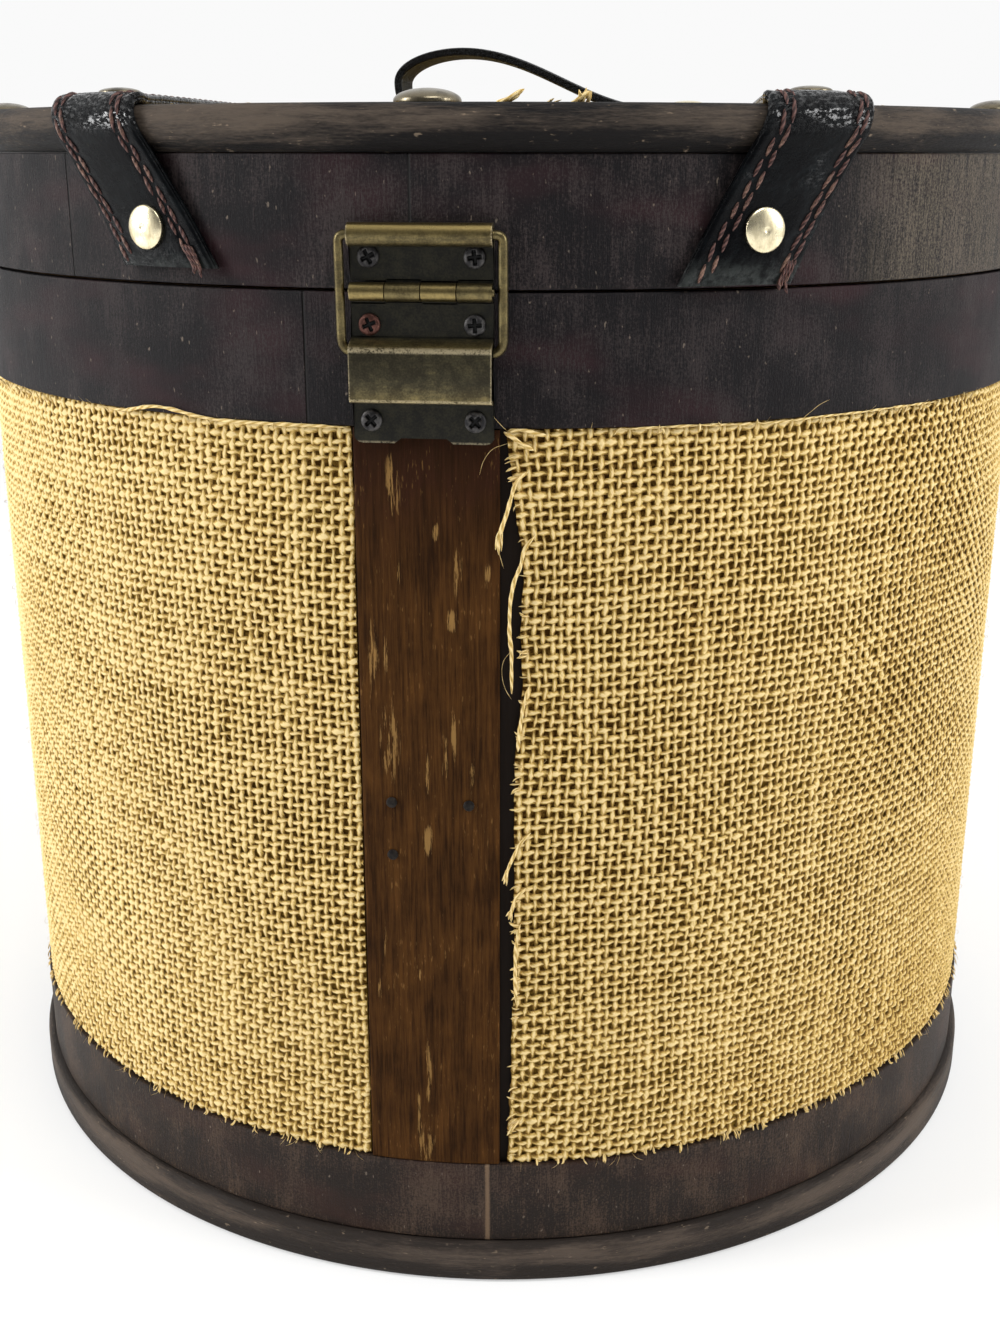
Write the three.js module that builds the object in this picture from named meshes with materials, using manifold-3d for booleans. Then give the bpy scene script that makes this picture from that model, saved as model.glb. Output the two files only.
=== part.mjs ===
// Round hessian-covered storage box with a hinged lid, leather straps and a spring-support hinge.
// Millimetres, +Z up, origin at the centre of the flat underside, hinge on the -Y side.
import * as THREE from 'three';
import { mergeVertices } from 'three/addons/utils/BufferGeometryUtils.js';
import Module from 'manifold-3d';

const wasm = await Module();
wasm.setup();

// Wooden shell
const WALL_OUTER_R = 148.2;
const WALL_T = 3.0;
const BAND_T = 2.1;
const GLUE_GAP = 0.2;
const EDGE_GAP = 0.3;
const SEAM_GAP = 0.6;
const BOTTOM_T = 6.0;
const BASE_HOOP_H = 10.8;
const BASE_HOOP_T = 4.2;
const BASE_HOOP_ROUND = 2.1;
const LOWER_BAND_H = 22.8;
const BURLAP_H = 187.9;
const UPPER_BAND_H = 29.2;
const RING_FACETS = 60;
const WRAP_FACETS = 90;

// Lid
const LID_SIDE_H = 27.5;
const HOOP_H = 10.0;
const HOOP_ROUND_RX = 3.6;
const HOOP_OVERHANG = 2.5;
const HOOP_LEDGE = 3.5;
const HOOP_LEDGE_H = 3.6;
const HOOP_REBATE_INSET = 4.0;
const LID_PANEL_T = 4.4;
const LID_BURLAP_T = 1.2;

// Cloth and batten
const BURLAP_T = 1.4;
const BATTEN_W = 32.5;
const BATTEN_T = 1.7;
const BURLAP_GAP_LEFT = 0.5;
const BURLAP_GAP_RIGHT = 3.4;
const TACK_R = 1.3;
const TACK_H = 0.6;
const TACK_HALF_SPACING = 9.2;
const TACK_Z_UPPER = 132.5;
const TACK_Z_LOWER = 119.0;

// Leather straps
const STRAP_LEFT_X = 75.5;
const STRAP_RIGHT_X = 81.5;
const STRAP_W = 22.2;
const STRAP_T = 2.4;
const STRAP_LEFT_SLANT = 0.6;
const STRAP_RIGHT_SLANT = 0.52;
const STRAP_LEFT_END = 3.6;
const STRAP_RIGHT_END = 0.6;
const STRAP_BRIDGE_H = 11.0;
const LEATHER_GAP = 0.3;
const RIVET_R = 4.8;
const RIVET_H = 1.5;
const RIVET_POST_R = 1.5;
const RIVET_HOLE_CLEARANCE = 0.3;
const RIVET_ABOVE_RIM = 12.1;
const TOP_RIVET_INSET = 10.5;
const DOME_R = 7.25;
const DOME_H = 3.1;
const DOME_INSET = 8.4;
const DOME_ANGLES = [0, 72, 108, 180, 252, 288];

// Carrying handle
const HANDLE_W = 20.0;
const HANDLE_T = 2.6;
const HANDLE_RISE = 18.8;
const HANDLE_APEX_X = -11.0;
const HANDLE_LEFT_X = -29.6;
const HANDLE_RIGHT_X = 46.0;
const HANDLE_TAB_END_LEFT = -8.0;
const HANDLE_TAB_END_RIGHT = 62.0;
const HANDLE_RIVET_INSET = 8.0;
const HANDLE_FOLD_X = 6.5;
const HANDLE_BULGE_UP = 8.0;
const HANDLE_FOLD_PULL = 4.5;
const HANDLE_SHOULDER_UP = 5.0;
const HANDLE_SHOULDER_PULL = 9.0;
const HANDLE_SLOPE_PULL = 21.0;

// Spring-support hinge
const LEAF_T = 0.9;
const LEAF_W = 30.8;
const LEAF_BACK_GAP = 0.25;
const KNUCKLE_R = 2.0;
const KNUCKLE_COUNT = 4;
const KNUCKLE_SIDE_GAP = 0.15;
const PIN_CLEARANCE = 0.2;
const PIN_L = 31.4;
const ROLL_R = 2.5;
const ROLL_UP = 11.8;
const BAR_LEAD = 1.3;
const CHANNEL_H = 11.1;
const CHANNEL_DEPTH = 6.0;
const CHANNEL_RAMP_TOP = 1.8;
const CHANNEL_RAMP_BOTTOM = 1.0;
const TAB_H = 8.8;
const NOTCH_W = 13.0;
const NOTCH_H = 1.1;
const NOTCH_TAPER = 1.5;
const SCREW_HEAD_R = 2.35;
const SCREW_HEAD_H = 1.2;
const SCREW_SHANK_R = 1.1;
const SCREW_BITE = 1.6;
const SCREW_HOLE_CLEARANCE = 0.25;
const SCREW_SPACING = 22.8;
const SCREW_UP = 7.2;
const SCREW_OFF_RAMP = 2.8;
const SCREW_IN_TAB = 5.0;
const RECESS_L = 2.6;
const RECESS_W = 0.6;
const RECESS_DEPTH = 0.7;
const WIRE_R = 1.05;
const BAIL_HALF_W = 17.5;
const BAIL_L = 24.6;
const BAIL_CORNER_R = 3.2;
const BAIL_TILT_DEG = 2.5;
const BAIL_END_GAP = 1.6;
const SPRING_T = 0.3;
const SPRING_W = 22.0;
const SPRING_END_GAP = 0.4;
const SPRING_SEAT_GAP = 0.12;

// Derived radii and levels
const wallInnerR = WALL_OUTER_R - WALL_T;
const skinInnerR = WALL_OUTER_R + GLUE_GAP;
const bandOuterR = skinInnerR + BAND_T;
const burlapBottomZ = BASE_HOOP_H + LOWER_BAND_H;
const burlapTopZ = burlapBottomZ + BURLAP_H;
const seamZ = burlapTopZ + UPPER_BAND_H;
const bodyRimZ = seamZ - SEAM_GAP / 2;
const lidRimZ = seamZ + SEAM_GAP / 2;
const lidSideTopZ = lidRimZ + LID_SIDE_H;
const hoopBottomZ = lidSideTopZ + EDGE_GAP;
const crestZ = hoopBottomZ + HOOP_H;
const hoopMidZ = hoopBottomZ + HOOP_H / 2;
const hoopOuterR = bandOuterR + HOOP_OVERHANG;
const crestR = hoopOuterR - HOOP_ROUND_RX;
const rebateR = bandOuterR - HOOP_REBATE_INSET;
const panelR = rebateR - EDGE_GAP;
const panelBottomZ = hoopBottomZ + HOOP_LEDGE_H + EDGE_GAP;
const panelTopZ = panelBottomZ + LID_PANEL_T;
const lidTopZ = panelTopZ + GLUE_GAP + LID_BURLAP_T;
const pinU = LEAF_BACK_GAP + KNUCKLE_R;
const rollU = LEAF_BACK_GAP + ROLL_R;
const leafMidU = LEAF_BACK_GAP + LEAF_T / 2;
const channelMidU = CHANNEL_DEPTH - LEAF_T / 2;
const channelTop = BAIL_L - ROLL_UP - BAR_LEAD;
const screwDown = channelTop - CHANNEL_RAMP_TOP - SCREW_OFF_RAMP;
const channelBottom = channelTop + CHANNEL_H;
const leafBottom = channelBottom + CHANNEL_RAMP_BOTTOM + TAB_H;

const COLOURS = {
  wood: 0x2a2322,
  raw: 0xb08d5e,
  walnut: 0x4a3226,
  burlap: 0xc59a5c,
  leather: 0x14161a,
  nickel: 0xc9c3b4,
  brass: 0x8a6f3c,
  bronze: 0x4a3b26,
};

const part = new THREE.Group();
part.name = 'round_storage_box';

function place(name, geometry, colour) {
  const bare = geometry.clone();
  bare.deleteAttribute('normal');
  bare.deleteAttribute('uv');
  const welded = mergeVertices(bare, 1e-5);
  welded.computeVertexNormals();
  const mesh = new THREE.Mesh(welded, new THREE.MeshStandardMaterial({ color: colour }));
  mesh.name = name;
  part.add(mesh);
}

// Signed volume decides whether the triangles face out, and turns them if they face in
function facingOut(geometry) {
  const bare = geometry.index ? geometry.toNonIndexed() : geometry.clone();
  bare.deleteAttribute('normal');
  bare.deleteAttribute('uv');
  const p = bare.attributes.position;
  const [a, b, c] = [new THREE.Vector3(), new THREE.Vector3(), new THREE.Vector3()];
  let volume = 0;
  for (let i = 0; i < p.count; i += 3) {
    a.fromBufferAttribute(p, i);
    b.fromBufferAttribute(p, i + 1);
    c.fromBufferAttribute(p, i + 2);
    volume += a.dot(b.cross(c)) / 6;
  }
  if (volume < 0) {
    for (let i = 0; i < p.count; i += 3) {
      b.fromBufferAttribute(p, i + 1);
      c.fromBufferAttribute(p, i + 2);
      p.setXYZ(i + 1, c.x, c.y, c.z);
      p.setXYZ(i + 2, b.x, b.y, b.z);
    }
  }
  return mergeVertices(bare, 1e-5);
}

function toManifold(geometry) {
  const g = facingOut(geometry);
  const vertProperties = new Float32Array(g.attributes.position.array);
  const triVerts = new Uint32Array(g.index.array);
  const mesh = new wasm.Mesh({ numProp: 3, vertProperties, triVerts });
  mesh.merge();
  return new wasm.Manifold(mesh);
}

function fromManifold(solid) {
  const m = solid.getMesh();
  const g = new THREE.BufferGeometry();
  g.setAttribute('position', new THREE.BufferAttribute(new Float32Array(m.vertProperties), 3));
  g.setIndex(new THREE.BufferAttribute(new Uint32Array(m.triVerts), 1));
  return g;
}

function cut(geometry, tools) {
  let solid = toManifold(geometry);
  for (const tool of tools) {
    solid = solid.subtract(toManifold(tool));
  }
  return fromManifold(solid);
}

// A closed profile of (radius, height) points turned round the Z axis
function revolve(points, facets = RING_FACETS) {
  const g = new THREE.LatheGeometry(points, facets);
  g.rotateX(Math.PI / 2);
  return facingOut(g);
}

function ringProfile(r0, r1, z0, z1) {
  const corners = [[r0, z0], [r1, z0], [r1, z1], [r0, z1], [r0, z0]];
  return corners.map(([r, z]) => new THREE.Vector2(r, z));
}

function discProfile(r, z0, z1) {
  return [[0, z0], [r, z0], [r, z1], [0, z1]].map(([x, z]) => new THREE.Vector2(x, z));
}

// Ribbon sections, each an inner and an outer row of points, joined into one closed skin
function loftRibbon(sections) {
  const rings = sections.map(({ inner, outer }) => [...inner, ...outer.slice().reverse()]);
  const m = rings[0].length;
  const n = rings.length;
  const positions = rings.flat().flatMap((p) => [p.x, p.y, p.z]);
  const index = [];
  const quad = (a, b, c, d) => index.push(a, b, c, a, c, d);
  for (let i = 0; i + 1 < n; i += 1) {
    for (let j = 0; j < m; j += 1) {
      const k = (j + 1) % m;
      quad(i * m + j, i * m + k, (i + 1) * m + k, (i + 1) * m + j);
    }
  }
  for (let j = 0; j + 1 < m / 2; j += 1) {
    quad(j, m - 1 - j, m - 2 - j, j + 1);
    const e = (n - 1) * m;
    quad(e + j, e + j + 1, e + m - 2 - j, e + m - 1 - j);
  }
  const g = new THREE.BufferGeometry();
  g.setAttribute('position', new THREE.Float32BufferAttribute(positions, 3));
  g.setIndex(index);
  return facingOut(g);
}

// Angle from the hinge plane, positive towards +X
function polar(r, angle, z) {
  return new THREE.Vector3(r * Math.sin(angle), -r * Math.cos(angle), z);
}

function curvedPanel(r0, r1, z0, z1, from, to, steps) {
  const sections = [];
  for (let i = 0; i <= steps; i += 1) {
    const t = from + ((to - from) * i) / steps;
    sections.push({ inner: [polar(r0, t, z0), polar(r0, t, z1)], outer: [polar(r1, t, z0), polar(r1, t, z1)] });
  }
  return loftRibbon(sections);
}

// A round bar from one point to another
function bar(from, to, radius, sides = 12) {
  const along = to.clone().sub(from);
  const g = new THREE.CylinderGeometry(radius, radius, along.length(), sides);
  g.rotateX(Math.PI / 2);
  g.applyQuaternion(new THREE.Quaternion().setFromUnitVectors(new THREE.Vector3(0, 0, 1), along.clone().normalize()));
  g.translate(...from.clone().addScaledVector(along, 0.5).toArray());
  return g;
}

// Turns a piece built along +Z so that it stands on a point along a direction
function standOn(geometry, point, direction) {
  const turn = new THREE.Quaternion().setFromUnitVectors(new THREE.Vector3(0, 0, 1), direction);
  return geometry.clone().applyQuaternion(turn).translate(point.x, point.y, point.z);
}

// Low dome cap on a post, the post pointing down
function capProfile(radius, height, lip, postR, postL, steps) {
  const points = [new THREE.Vector2(0, -postL)];
  if (postL > 0) {
    points.push(new THREE.Vector2(postR, -postL), new THREE.Vector2(postR, 0));
  }
  points.push(new THREE.Vector2(radius, 0));
  for (let i = 0; i <= steps; i += 1) {
    const a = (i / steps) * (Math.PI / 2);
    points.push(new THREE.Vector2(radius * Math.cos(a), lip + (height - lip) * Math.sin(a)));
  }
  points[points.length - 1].x = 0;
  return points;
}

// Box body: bottom, wall, bands and base hoop
place('bottom_panel', revolve(discProfile(wallInnerR - EDGE_GAP, 0, BOTTOM_T)), COLOURS.raw);
place('body_wall', revolve(ringProfile(wallInnerR, WALL_OUTER_R, 0, bodyRimZ)), COLOURS.raw);

const baseInnerR = WALL_OUTER_R + EDGE_GAP;
const baseRoundR = baseInnerR + BASE_HOOP_T - BASE_HOOP_ROUND;
const basePath = new THREE.Path();
basePath.moveTo(baseInnerR, 0);
basePath.lineTo(baseRoundR, 0);
basePath.absellipse(baseRoundR, BASE_HOOP_H / 2, BASE_HOOP_ROUND, BASE_HOOP_H / 2, -Math.PI / 2, Math.PI / 2, false);
basePath.lineTo(baseInnerR, BASE_HOOP_H);
basePath.lineTo(baseInnerR, 0);
place('base_hoop', revolve(basePath.getPoints(3)), COLOURS.wood);

const lowerBand = ringProfile(skinInnerR, bandOuterR, BASE_HOOP_H + EDGE_GAP, burlapBottomZ);
place('lower_band', revolve(lowerBand), COLOURS.wood);

// Screw places on the hinge leaves, as (across, up from the pin)
const screwX = SCREW_SPACING / 2;
const lidScrews = [[-screwX, SCREW_UP], [screwX, SCREW_UP]];
const tabScrewDown = leafBottom - SCREW_IN_TAB;
const bodyScrews = [
  [-screwX, -screwDown],
  [screwX, -screwDown],
  [-screwX, -tabScrewDown],
  [screwX, -tabScrewDown],
];
const hingePoint = (x, u, w) => new THREE.Vector3(x, -bandOuterR - u, seamZ + w);
const screwHole = ([x, w]) =>
  bar(hingePoint(x, -2 * BAND_T, w), hingePoint(x, CHANNEL_DEPTH, w), SCREW_SHANK_R + SCREW_HOLE_CLEARANCE, 10);

const upperBand = revolve(ringProfile(skinInnerR, bandOuterR, burlapTopZ, bodyRimZ));
place('upper_band', cut(upperBand, bodyScrews.map(screwHole)), COLOURS.wood);

// Hessian wrap: an open sleeve whose ends meet at the batten, one of them short of it
const battenHalfAngle = BATTEN_W / 2 / WALL_OUTER_R;
const wrapFrom = battenHalfAngle + BURLAP_GAP_RIGHT / WALL_OUTER_R;
const wrapTo = 2 * Math.PI - battenHalfAngle - BURLAP_GAP_LEFT / WALL_OUTER_R;
const clothBottomZ = burlapBottomZ + EDGE_GAP;
const clothTopZ = burlapTopZ - EDGE_GAP;
const burlapOuterR = skinInnerR + BURLAP_T;
place(
  'burlap_wrap',
  curvedPanel(skinInnerR, burlapOuterR, clothBottomZ, clothTopZ, wrapFrom, wrapTo, WRAP_FACETS),
  COLOURS.burlap,
);

const battenOuterR = skinInnerR + BATTEN_T;
const batten = curvedPanel(skinInnerR, battenOuterR, clothBottomZ, clothTopZ, -battenHalfAngle, battenHalfAngle, 4);
place('back_batten', cut(batten, bodyScrews.map(screwHole)), COLOURS.walnut);

const tackPlaces = [
  [-TACK_HALF_SPACING, TACK_Z_UPPER],
  [TACK_HALF_SPACING, TACK_Z_UPPER],
  [-TACK_HALF_SPACING, TACK_Z_LOWER],
];
const tack = revolve(capProfile(TACK_R, TACK_H, TACK_H / 3, 0, 0, 2), 10);
tackPlaces.forEach(([x, z], i) => {
  const angle = x / battenOuterR;
  const seat = polar(battenOuterR + GLUE_GAP, angle, z);
  place(`batten_tack_${i + 1}`, standOn(tack, seat, polar(1, angle, 0)), COLOURS.bronze);
});

// Lid: wall, band, half-round hoop with a rebate for the panel, panel and cloth
const lidWall = ringProfile(wallInnerR, WALL_OUTER_R, lidRimZ, lidSideTopZ);
place('lid_wall', revolve(lidWall), COLOURS.raw);
const lidBand = revolve(ringProfile(skinInnerR, bandOuterR, lidRimZ, lidSideTopZ));
place('lid_band', cut(lidBand, lidScrews.map(screwHole)), COLOURS.wood);

const ledgeR = rebateR - HOOP_LEDGE;
const topAngle = Math.acos((rebateR - crestR) / HOOP_ROUND_RX);
const footAngle = -Math.PI * 0.42;
const hoopPath = new THREE.Path();
hoopPath.moveTo(ledgeR, hoopBottomZ);
hoopPath.lineTo(crestR + HOOP_ROUND_RX * Math.cos(footAngle), hoopBottomZ);
hoopPath.absellipse(crestR, hoopMidZ, HOOP_ROUND_RX, HOOP_H / 2, footAngle, topAngle, false);
hoopPath.lineTo(rebateR, hoopBottomZ + HOOP_LEDGE_H);
hoopPath.lineTo(ledgeR, hoopBottomZ + HOOP_LEDGE_H);
hoopPath.lineTo(ledgeR, hoopBottomZ);
place('top_hoop', revolve(hoopPath.getPoints(4)), COLOURS.wood);

place('lid_panel', revolve(discProfile(panelR, panelBottomZ, panelTopZ)), COLOURS.raw);
place('lid_burlap', revolve(discProfile(panelR, panelTopZ + GLUE_GAP, lidTopZ)), COLOURS.burlap);

// Strap course over the lid: along Y on top, over the hoop and slanting down the lid band
const hoopSkin = (angle) => ({
  r: crestR + (HOOP_ROUND_RX + LEATHER_GAP) * Math.cos(angle),
  z: hoopMidZ + (HOOP_H / 2 + LEATHER_GAP) * Math.sin(angle),
});
const strapTopZ = lidTopZ + LEATHER_GAP;
const bandSkinR = bandOuterR + LEATHER_GAP;
const landingZ = hoopBottomZ - STRAP_BRIDGE_H;
const strapCourse = [
  { r: crestR - HOOP_ROUND_RX - TOP_RIVET_INSET, z: strapTopZ },
  { r: crestR - HOOP_ROUND_RX, z: strapTopZ },
  hoopSkin(Math.PI * 0.5),
  hoopSkin(Math.PI * 0.36),
  hoopSkin(Math.PI * 0.22),
  hoopSkin(Math.PI * 0.1),
  hoopSkin(0),
  { r: THREE.MathUtils.lerp(bandSkinR, hoopOuterR, 0.82), z: hoopBottomZ + HOOP_H * 0.16 },
  { r: THREE.MathUtils.lerp(bandSkinR, hoopOuterR, 0.28), z: THREE.MathUtils.lerp(landingZ, hoopBottomZ, 0.4) },
  { r: bandSkinR, z: landingZ },
];
const straps = [
  { label: 'left', x: -STRAP_LEFT_X, slant: STRAP_LEFT_SLANT, footZ: lidRimZ + STRAP_LEFT_END },
  { label: 'right', x: STRAP_RIGHT_X, slant: STRAP_RIGHT_SLANT, footZ: lidRimZ + STRAP_RIGHT_END },
];

function courseNormals(course) {
  return course.map((p, i) => {
    const a = course[Math.max(i - 1, 0)];
    const b = course[Math.min(i + 1, course.length - 1)];
    const length = Math.hypot(b.r - a.r, b.z - a.z);
    return { r: -(b.z - a.z) / length, z: (b.r - a.r) / length };
  });
}

function onCourse(p, x, slant, side) {
  const drop = Math.max(strapTopZ - p.z, 0);
  const lean = p.r < crestR ? 0 : (Math.sign(x) * slant * drop) / bandOuterR;
  const angle = Math.asin(x / Math.min(p.r, crestR)) - lean;
  const spot = polar(p.r, angle, p.z);
  spot.y *= side;
  return spot;
}

const acrossStrap = [-0.5, -0.25, 0, 0.25, 0.5].map((k) => k * STRAP_W);

function strapSections({ x, slant, footZ }, side) {
  const course = [...strapCourse, { r: bandSkinR, z: footZ }];
  const normals = courseNormals(course);
  return course.map((p, i) => {
    const n = normals[i];
    const inner = acrossStrap.map((u) => onCourse(p, x + u, slant, side));
    const outer = acrossStrap.map((u, k) => {
      const turn = Math.atan2(inner[k].x, -inner[k].y * side);
      const shift = polar(n.r * STRAP_T, turn, n.z * STRAP_T);
      shift.y *= side;
      return inner[k].clone().add(shift);
    });
    return { inner, outer };
  });
}

const rivetPostL = STRAP_T + LEATHER_GAP / 2;
const strapRivet = revolve(capProfile(RIVET_R, RIVET_H, RIVET_H / 3, RIVET_POST_R, rivetPostL, 3), 12);
const rivetHoleR = RIVET_POST_R + RIVET_HOLE_CLEARANCE;

function strapRivetSeats({ x, slant }) {
  const seats = [];
  for (const side of [1, -1]) {
    const onBand = onCourse({ r: bandSkinR, z: lidRimZ + RIVET_ABOVE_RIM }, x, slant, side);
    const out = new THREE.Vector3(onBand.x, onBand.y, 0).normalize();
    seats.push({ at: onBand.clone().addScaledVector(out, STRAP_T + LEATHER_GAP), out });
    const onTop = onCourse({ r: crestR - TOP_RIVET_INSET, z: strapTopZ }, x, slant, side);
    const up = new THREE.Vector3(0, 0, 1);
    seats.push({ at: onTop.clone().addScaledVector(up, STRAP_T + LEATHER_GAP), out: up });
  }
  return seats;
}

const rivetNames = ['back_end', 'back_top', 'front_end', 'front_top'];
for (const strap of straps) {
  const sections = [...strapSections(strap, 1).reverse(), ...strapSections(strap, -1)];
  const seats = strapRivetSeats(strap);
  const holes = seats.map(({ at, out }) =>
    bar(at.clone().addScaledVector(out, -2 * STRAP_T), at.clone().addScaledVector(out, STRAP_T), rivetHoleR, 12),
  );
  place(`strap_${strap.label}`, cut(loftRibbon(sections), holes), COLOURS.leather);
  seats.forEach(({ at, out }, i) => {
    place(`strap_rivet_${strap.label}_${rivetNames[i]}`, standOn(strapRivet, at, out), COLOURS.nickel);
  });
}

// Domed studs round the rim of the lid top
const stud = revolve(capProfile(DOME_R, DOME_H, DOME_H / 6, 0, 0, 4), 16);
DOME_ANGLES.forEach((degrees, i) => {
  const seat = polar(crestR - DOME_INSET, THREE.MathUtils.degToRad(degrees), lidTopZ + GLUE_GAP);
  place(`lid_stud_${i + 1}`, standOn(stud, seat, new THREE.Vector3(0, 0, 1)), COLOURS.nickel);
});

// Handle: one leather strap, its left end folded back under itself, its right end laid outwards
function offsetShape(points, thickness) {
  const normals = points.map((p, i) => {
    const a = points[Math.max(i - 1, 0)];
    const b = points[Math.min(i + 1, points.length - 1)];
    return new THREE.Vector2(-(b.y - a.y), b.x - a.x).normalize();
  });
  const upper = points.map((p, i) => p.clone().addScaledVector(normals[i], thickness / 2));
  const lower = points.map((p, i) => p.clone().addScaledVector(normals[i], -thickness / 2));
  return new THREE.Shape([...upper, ...lower.reverse()]);
}

const tabMidZ = lidTopZ + LEATHER_GAP + HANDLE_T / 2;
const apexZ = crestZ + HANDLE_RISE - HANDLE_T / 2;
const handleRun = new THREE.CurvePath();
const v2 = (x, y) => new THREE.Vector2(x, y);
const foldX = HANDLE_LEFT_X + HANDLE_FOLD_X;
const bulge = v2(HANDLE_LEFT_X, tabMidZ + HANDLE_BULGE_UP);
const apex = v2(HANDLE_APEX_X, apexZ);
const landing = v2(HANDLE_RIGHT_X, tabMidZ);
handleRun.add(new THREE.LineCurve(v2(HANDLE_TAB_END_LEFT, tabMidZ), v2(foldX, tabMidZ)));
const foldPull = v2(foldX - HANDLE_FOLD_PULL, tabMidZ);
const bulgeLow = v2(bulge.x, bulge.y - HANDLE_FOLD_PULL);
const bulgeHigh = v2(bulge.x, bulge.y + HANDLE_SHOULDER_UP);
const shoulder = v2(apex.x - HANDLE_SHOULDER_PULL, apex.y);
const slopeTop = v2(apex.x + HANDLE_SLOPE_PULL, apex.y);
const slopeFoot = v2(landing.x - HANDLE_SLOPE_PULL, landing.y);
handleRun.add(new THREE.CubicBezierCurve(v2(foldX, tabMidZ), foldPull, bulgeLow, bulge));
handleRun.add(new THREE.CubicBezierCurve(bulge, bulgeHigh, shoulder, apex));
handleRun.add(new THREE.CubicBezierCurve(apex, slopeTop, slopeFoot, landing));
handleRun.add(new THREE.LineCurve(landing, v2(HANDLE_TAB_END_RIGHT, tabMidZ)));
const handleSteps = [1, 5, 7, 9, 1];
const handlePoints = handleRun.curves.flatMap((c, i) => c.getPoints(handleSteps[i]).slice(i === 0 ? 0 : 1));
const handleSide = new THREE.ExtrudeGeometry(offsetShape(handlePoints, HANDLE_T), { depth: HANDLE_W, bevelEnabled: false });
handleSide.translate(0, 0, -HANDLE_W / 2);
handleSide.rotateX(Math.PI / 2);
const handleSeats = [
  HANDLE_TAB_END_LEFT - HANDLE_RIVET_INSET,
  HANDLE_TAB_END_RIGHT - HANDLE_RIVET_INSET,
].map((x) => new THREE.Vector3(x, 0, tabMidZ + HANDLE_T / 2 + LEATHER_GAP));
const handleRivet = revolve(
  capProfile(RIVET_R, RIVET_H, RIVET_H / 3, RIVET_POST_R, HANDLE_T + LEATHER_GAP / 2, 3),
  12,
);
const upright = new THREE.Vector3(0, 0, 1);
const handleHoles = handleSeats.map((at) =>
  bar(at.clone().addScaledVector(upright, -2 * HANDLE_T), at.clone().addScaledVector(upright, RIVET_H), rivetHoleR, 12),
);
place('handle_strap', cut(handleSide, handleHoles), COLOURS.leather);
handleSeats.forEach((at, i) => {
  place(`handle_rivet_${i === 0 ? 'left' : 'right'}`, standOn(handleRivet, at, upright), COLOURS.nickel);
});

// Hinge leaves: sheet bent along a side course of (outward, up) points, then slotted and drilled
function arc(cu, cw, r, from, to, steps) {
  const points = [];
  for (let i = 0; i <= steps; i += 1) {
    const a = from + ((to - from) * i) / steps;
    points.push(v2(cu + r * Math.cos(a), cw + r * Math.sin(a)));
  }
  return points;
}

function bentSheet(course, width) {
  const g = new THREE.ExtrudeGeometry(offsetShape(course, LEAF_T), { depth: width, bevelEnabled: false });
  const p = g.attributes.position;
  for (let i = 0; i < p.count; i += 1) {
    const spot = hingePoint(p.getZ(i) - width / 2, p.getX(i), p.getY(i));
    p.setXYZ(i, spot.x, spot.y, spot.z);
  }
  return facingOut(g);
}

function hingeBlock(x0, x1, u0, u1, w0, w1) {
  const g = new THREE.BoxGeometry(x1 - x0, u1 - u0, w1 - w0);
  const middle = hingePoint((x0 + x1) / 2, (u0 + u1) / 2, (w0 + w1) / 2);
  return g.translate(middle.x, middle.y, middle.z);
}

const knuckleMidR = KNUCKLE_R - LEAF_T / 2;
const rollMidR = ROLL_R - LEAF_T / 2;
const knuckleW = LEAF_W / KNUCKLE_COUNT;
const slotReach = KNUCKLE_R + EDGE_GAP;

function knuckleSlots(parity) {
  const slots = [];
  for (let i = 0; i < KNUCKLE_COUNT; i += 1) {
    if (i % 2 === parity) {
      const x0 = -LEAF_W / 2 + i * knuckleW - (i === 0 ? 1 : KNUCKLE_SIDE_GAP);
      const x1 = -LEAF_W / 2 + (i + 1) * knuckleW + (i === KNUCKLE_COUNT - 1 ? 1 : KNUCKLE_SIDE_GAP);
      slots.push(hingeBlock(x0, x1, -1, pinU + slotReach, -slotReach, slotReach));
    }
  }
  return slots;
}

const upperCourse = [
  ...arc(pinU, 0, knuckleMidR, Math.PI * 2.62, Math.PI, 10),
  ...arc(rollU, ROLL_UP, rollMidR, Math.PI, -Math.PI * 0.7, 11),
];
const upperLeaf = bentSheet(upperCourse, LEAF_W);
place('hinge_upper_leaf', cut(upperLeaf, [...knuckleSlots(0), ...lidScrews.map(screwHole)]), COLOURS.bronze);

const lowerCourse = [
  ...arc(pinU, 0, knuckleMidR, -Math.PI * 0.62, Math.PI, 10),
  v2(leafMidU, -(channelTop - CHANNEL_RAMP_TOP)),
  v2(channelMidU, -channelTop),
  v2(channelMidU, -channelBottom),
  v2(leafMidU, -(channelBottom + CHANNEL_RAMP_BOTTOM)),
  v2(leafMidU, -leafBottom),
];
const notch = new THREE.Shape([
  v2(-NOTCH_W / 2, -1),
  v2(NOTCH_W / 2, -1),
  v2(NOTCH_W / 2, 0),
  v2(NOTCH_W / 2 - NOTCH_TAPER, NOTCH_H),
  v2(-NOTCH_W / 2 + NOTCH_TAPER, NOTCH_H),
  v2(-NOTCH_W / 2, 0),
]);
const notchTool = new THREE.ExtrudeGeometry(notch, { depth: 3 * LEAF_T, bevelEnabled: false });
notchTool.rotateX(Math.PI / 2);
notchTool.translate(0, -bandOuterR - leafMidU + 1.5 * LEAF_T, seamZ - leafBottom);
const lowerLeaf = bentSheet(lowerCourse, LEAF_W);
const lowerCuts = [...knuckleSlots(1), ...bodyScrews.map(screwHole), notchTool];
place('hinge_lower_leaf', cut(lowerLeaf, lowerCuts), COLOURS.bronze);

const pinR = KNUCKLE_R - LEAF_T - PIN_CLEARANCE;
place('hinge_pin', bar(hingePoint(-PIN_L / 2, pinU, 0), hingePoint(PIN_L / 2, pinU, 0), pinR, 12), COLOURS.brass);

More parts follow.
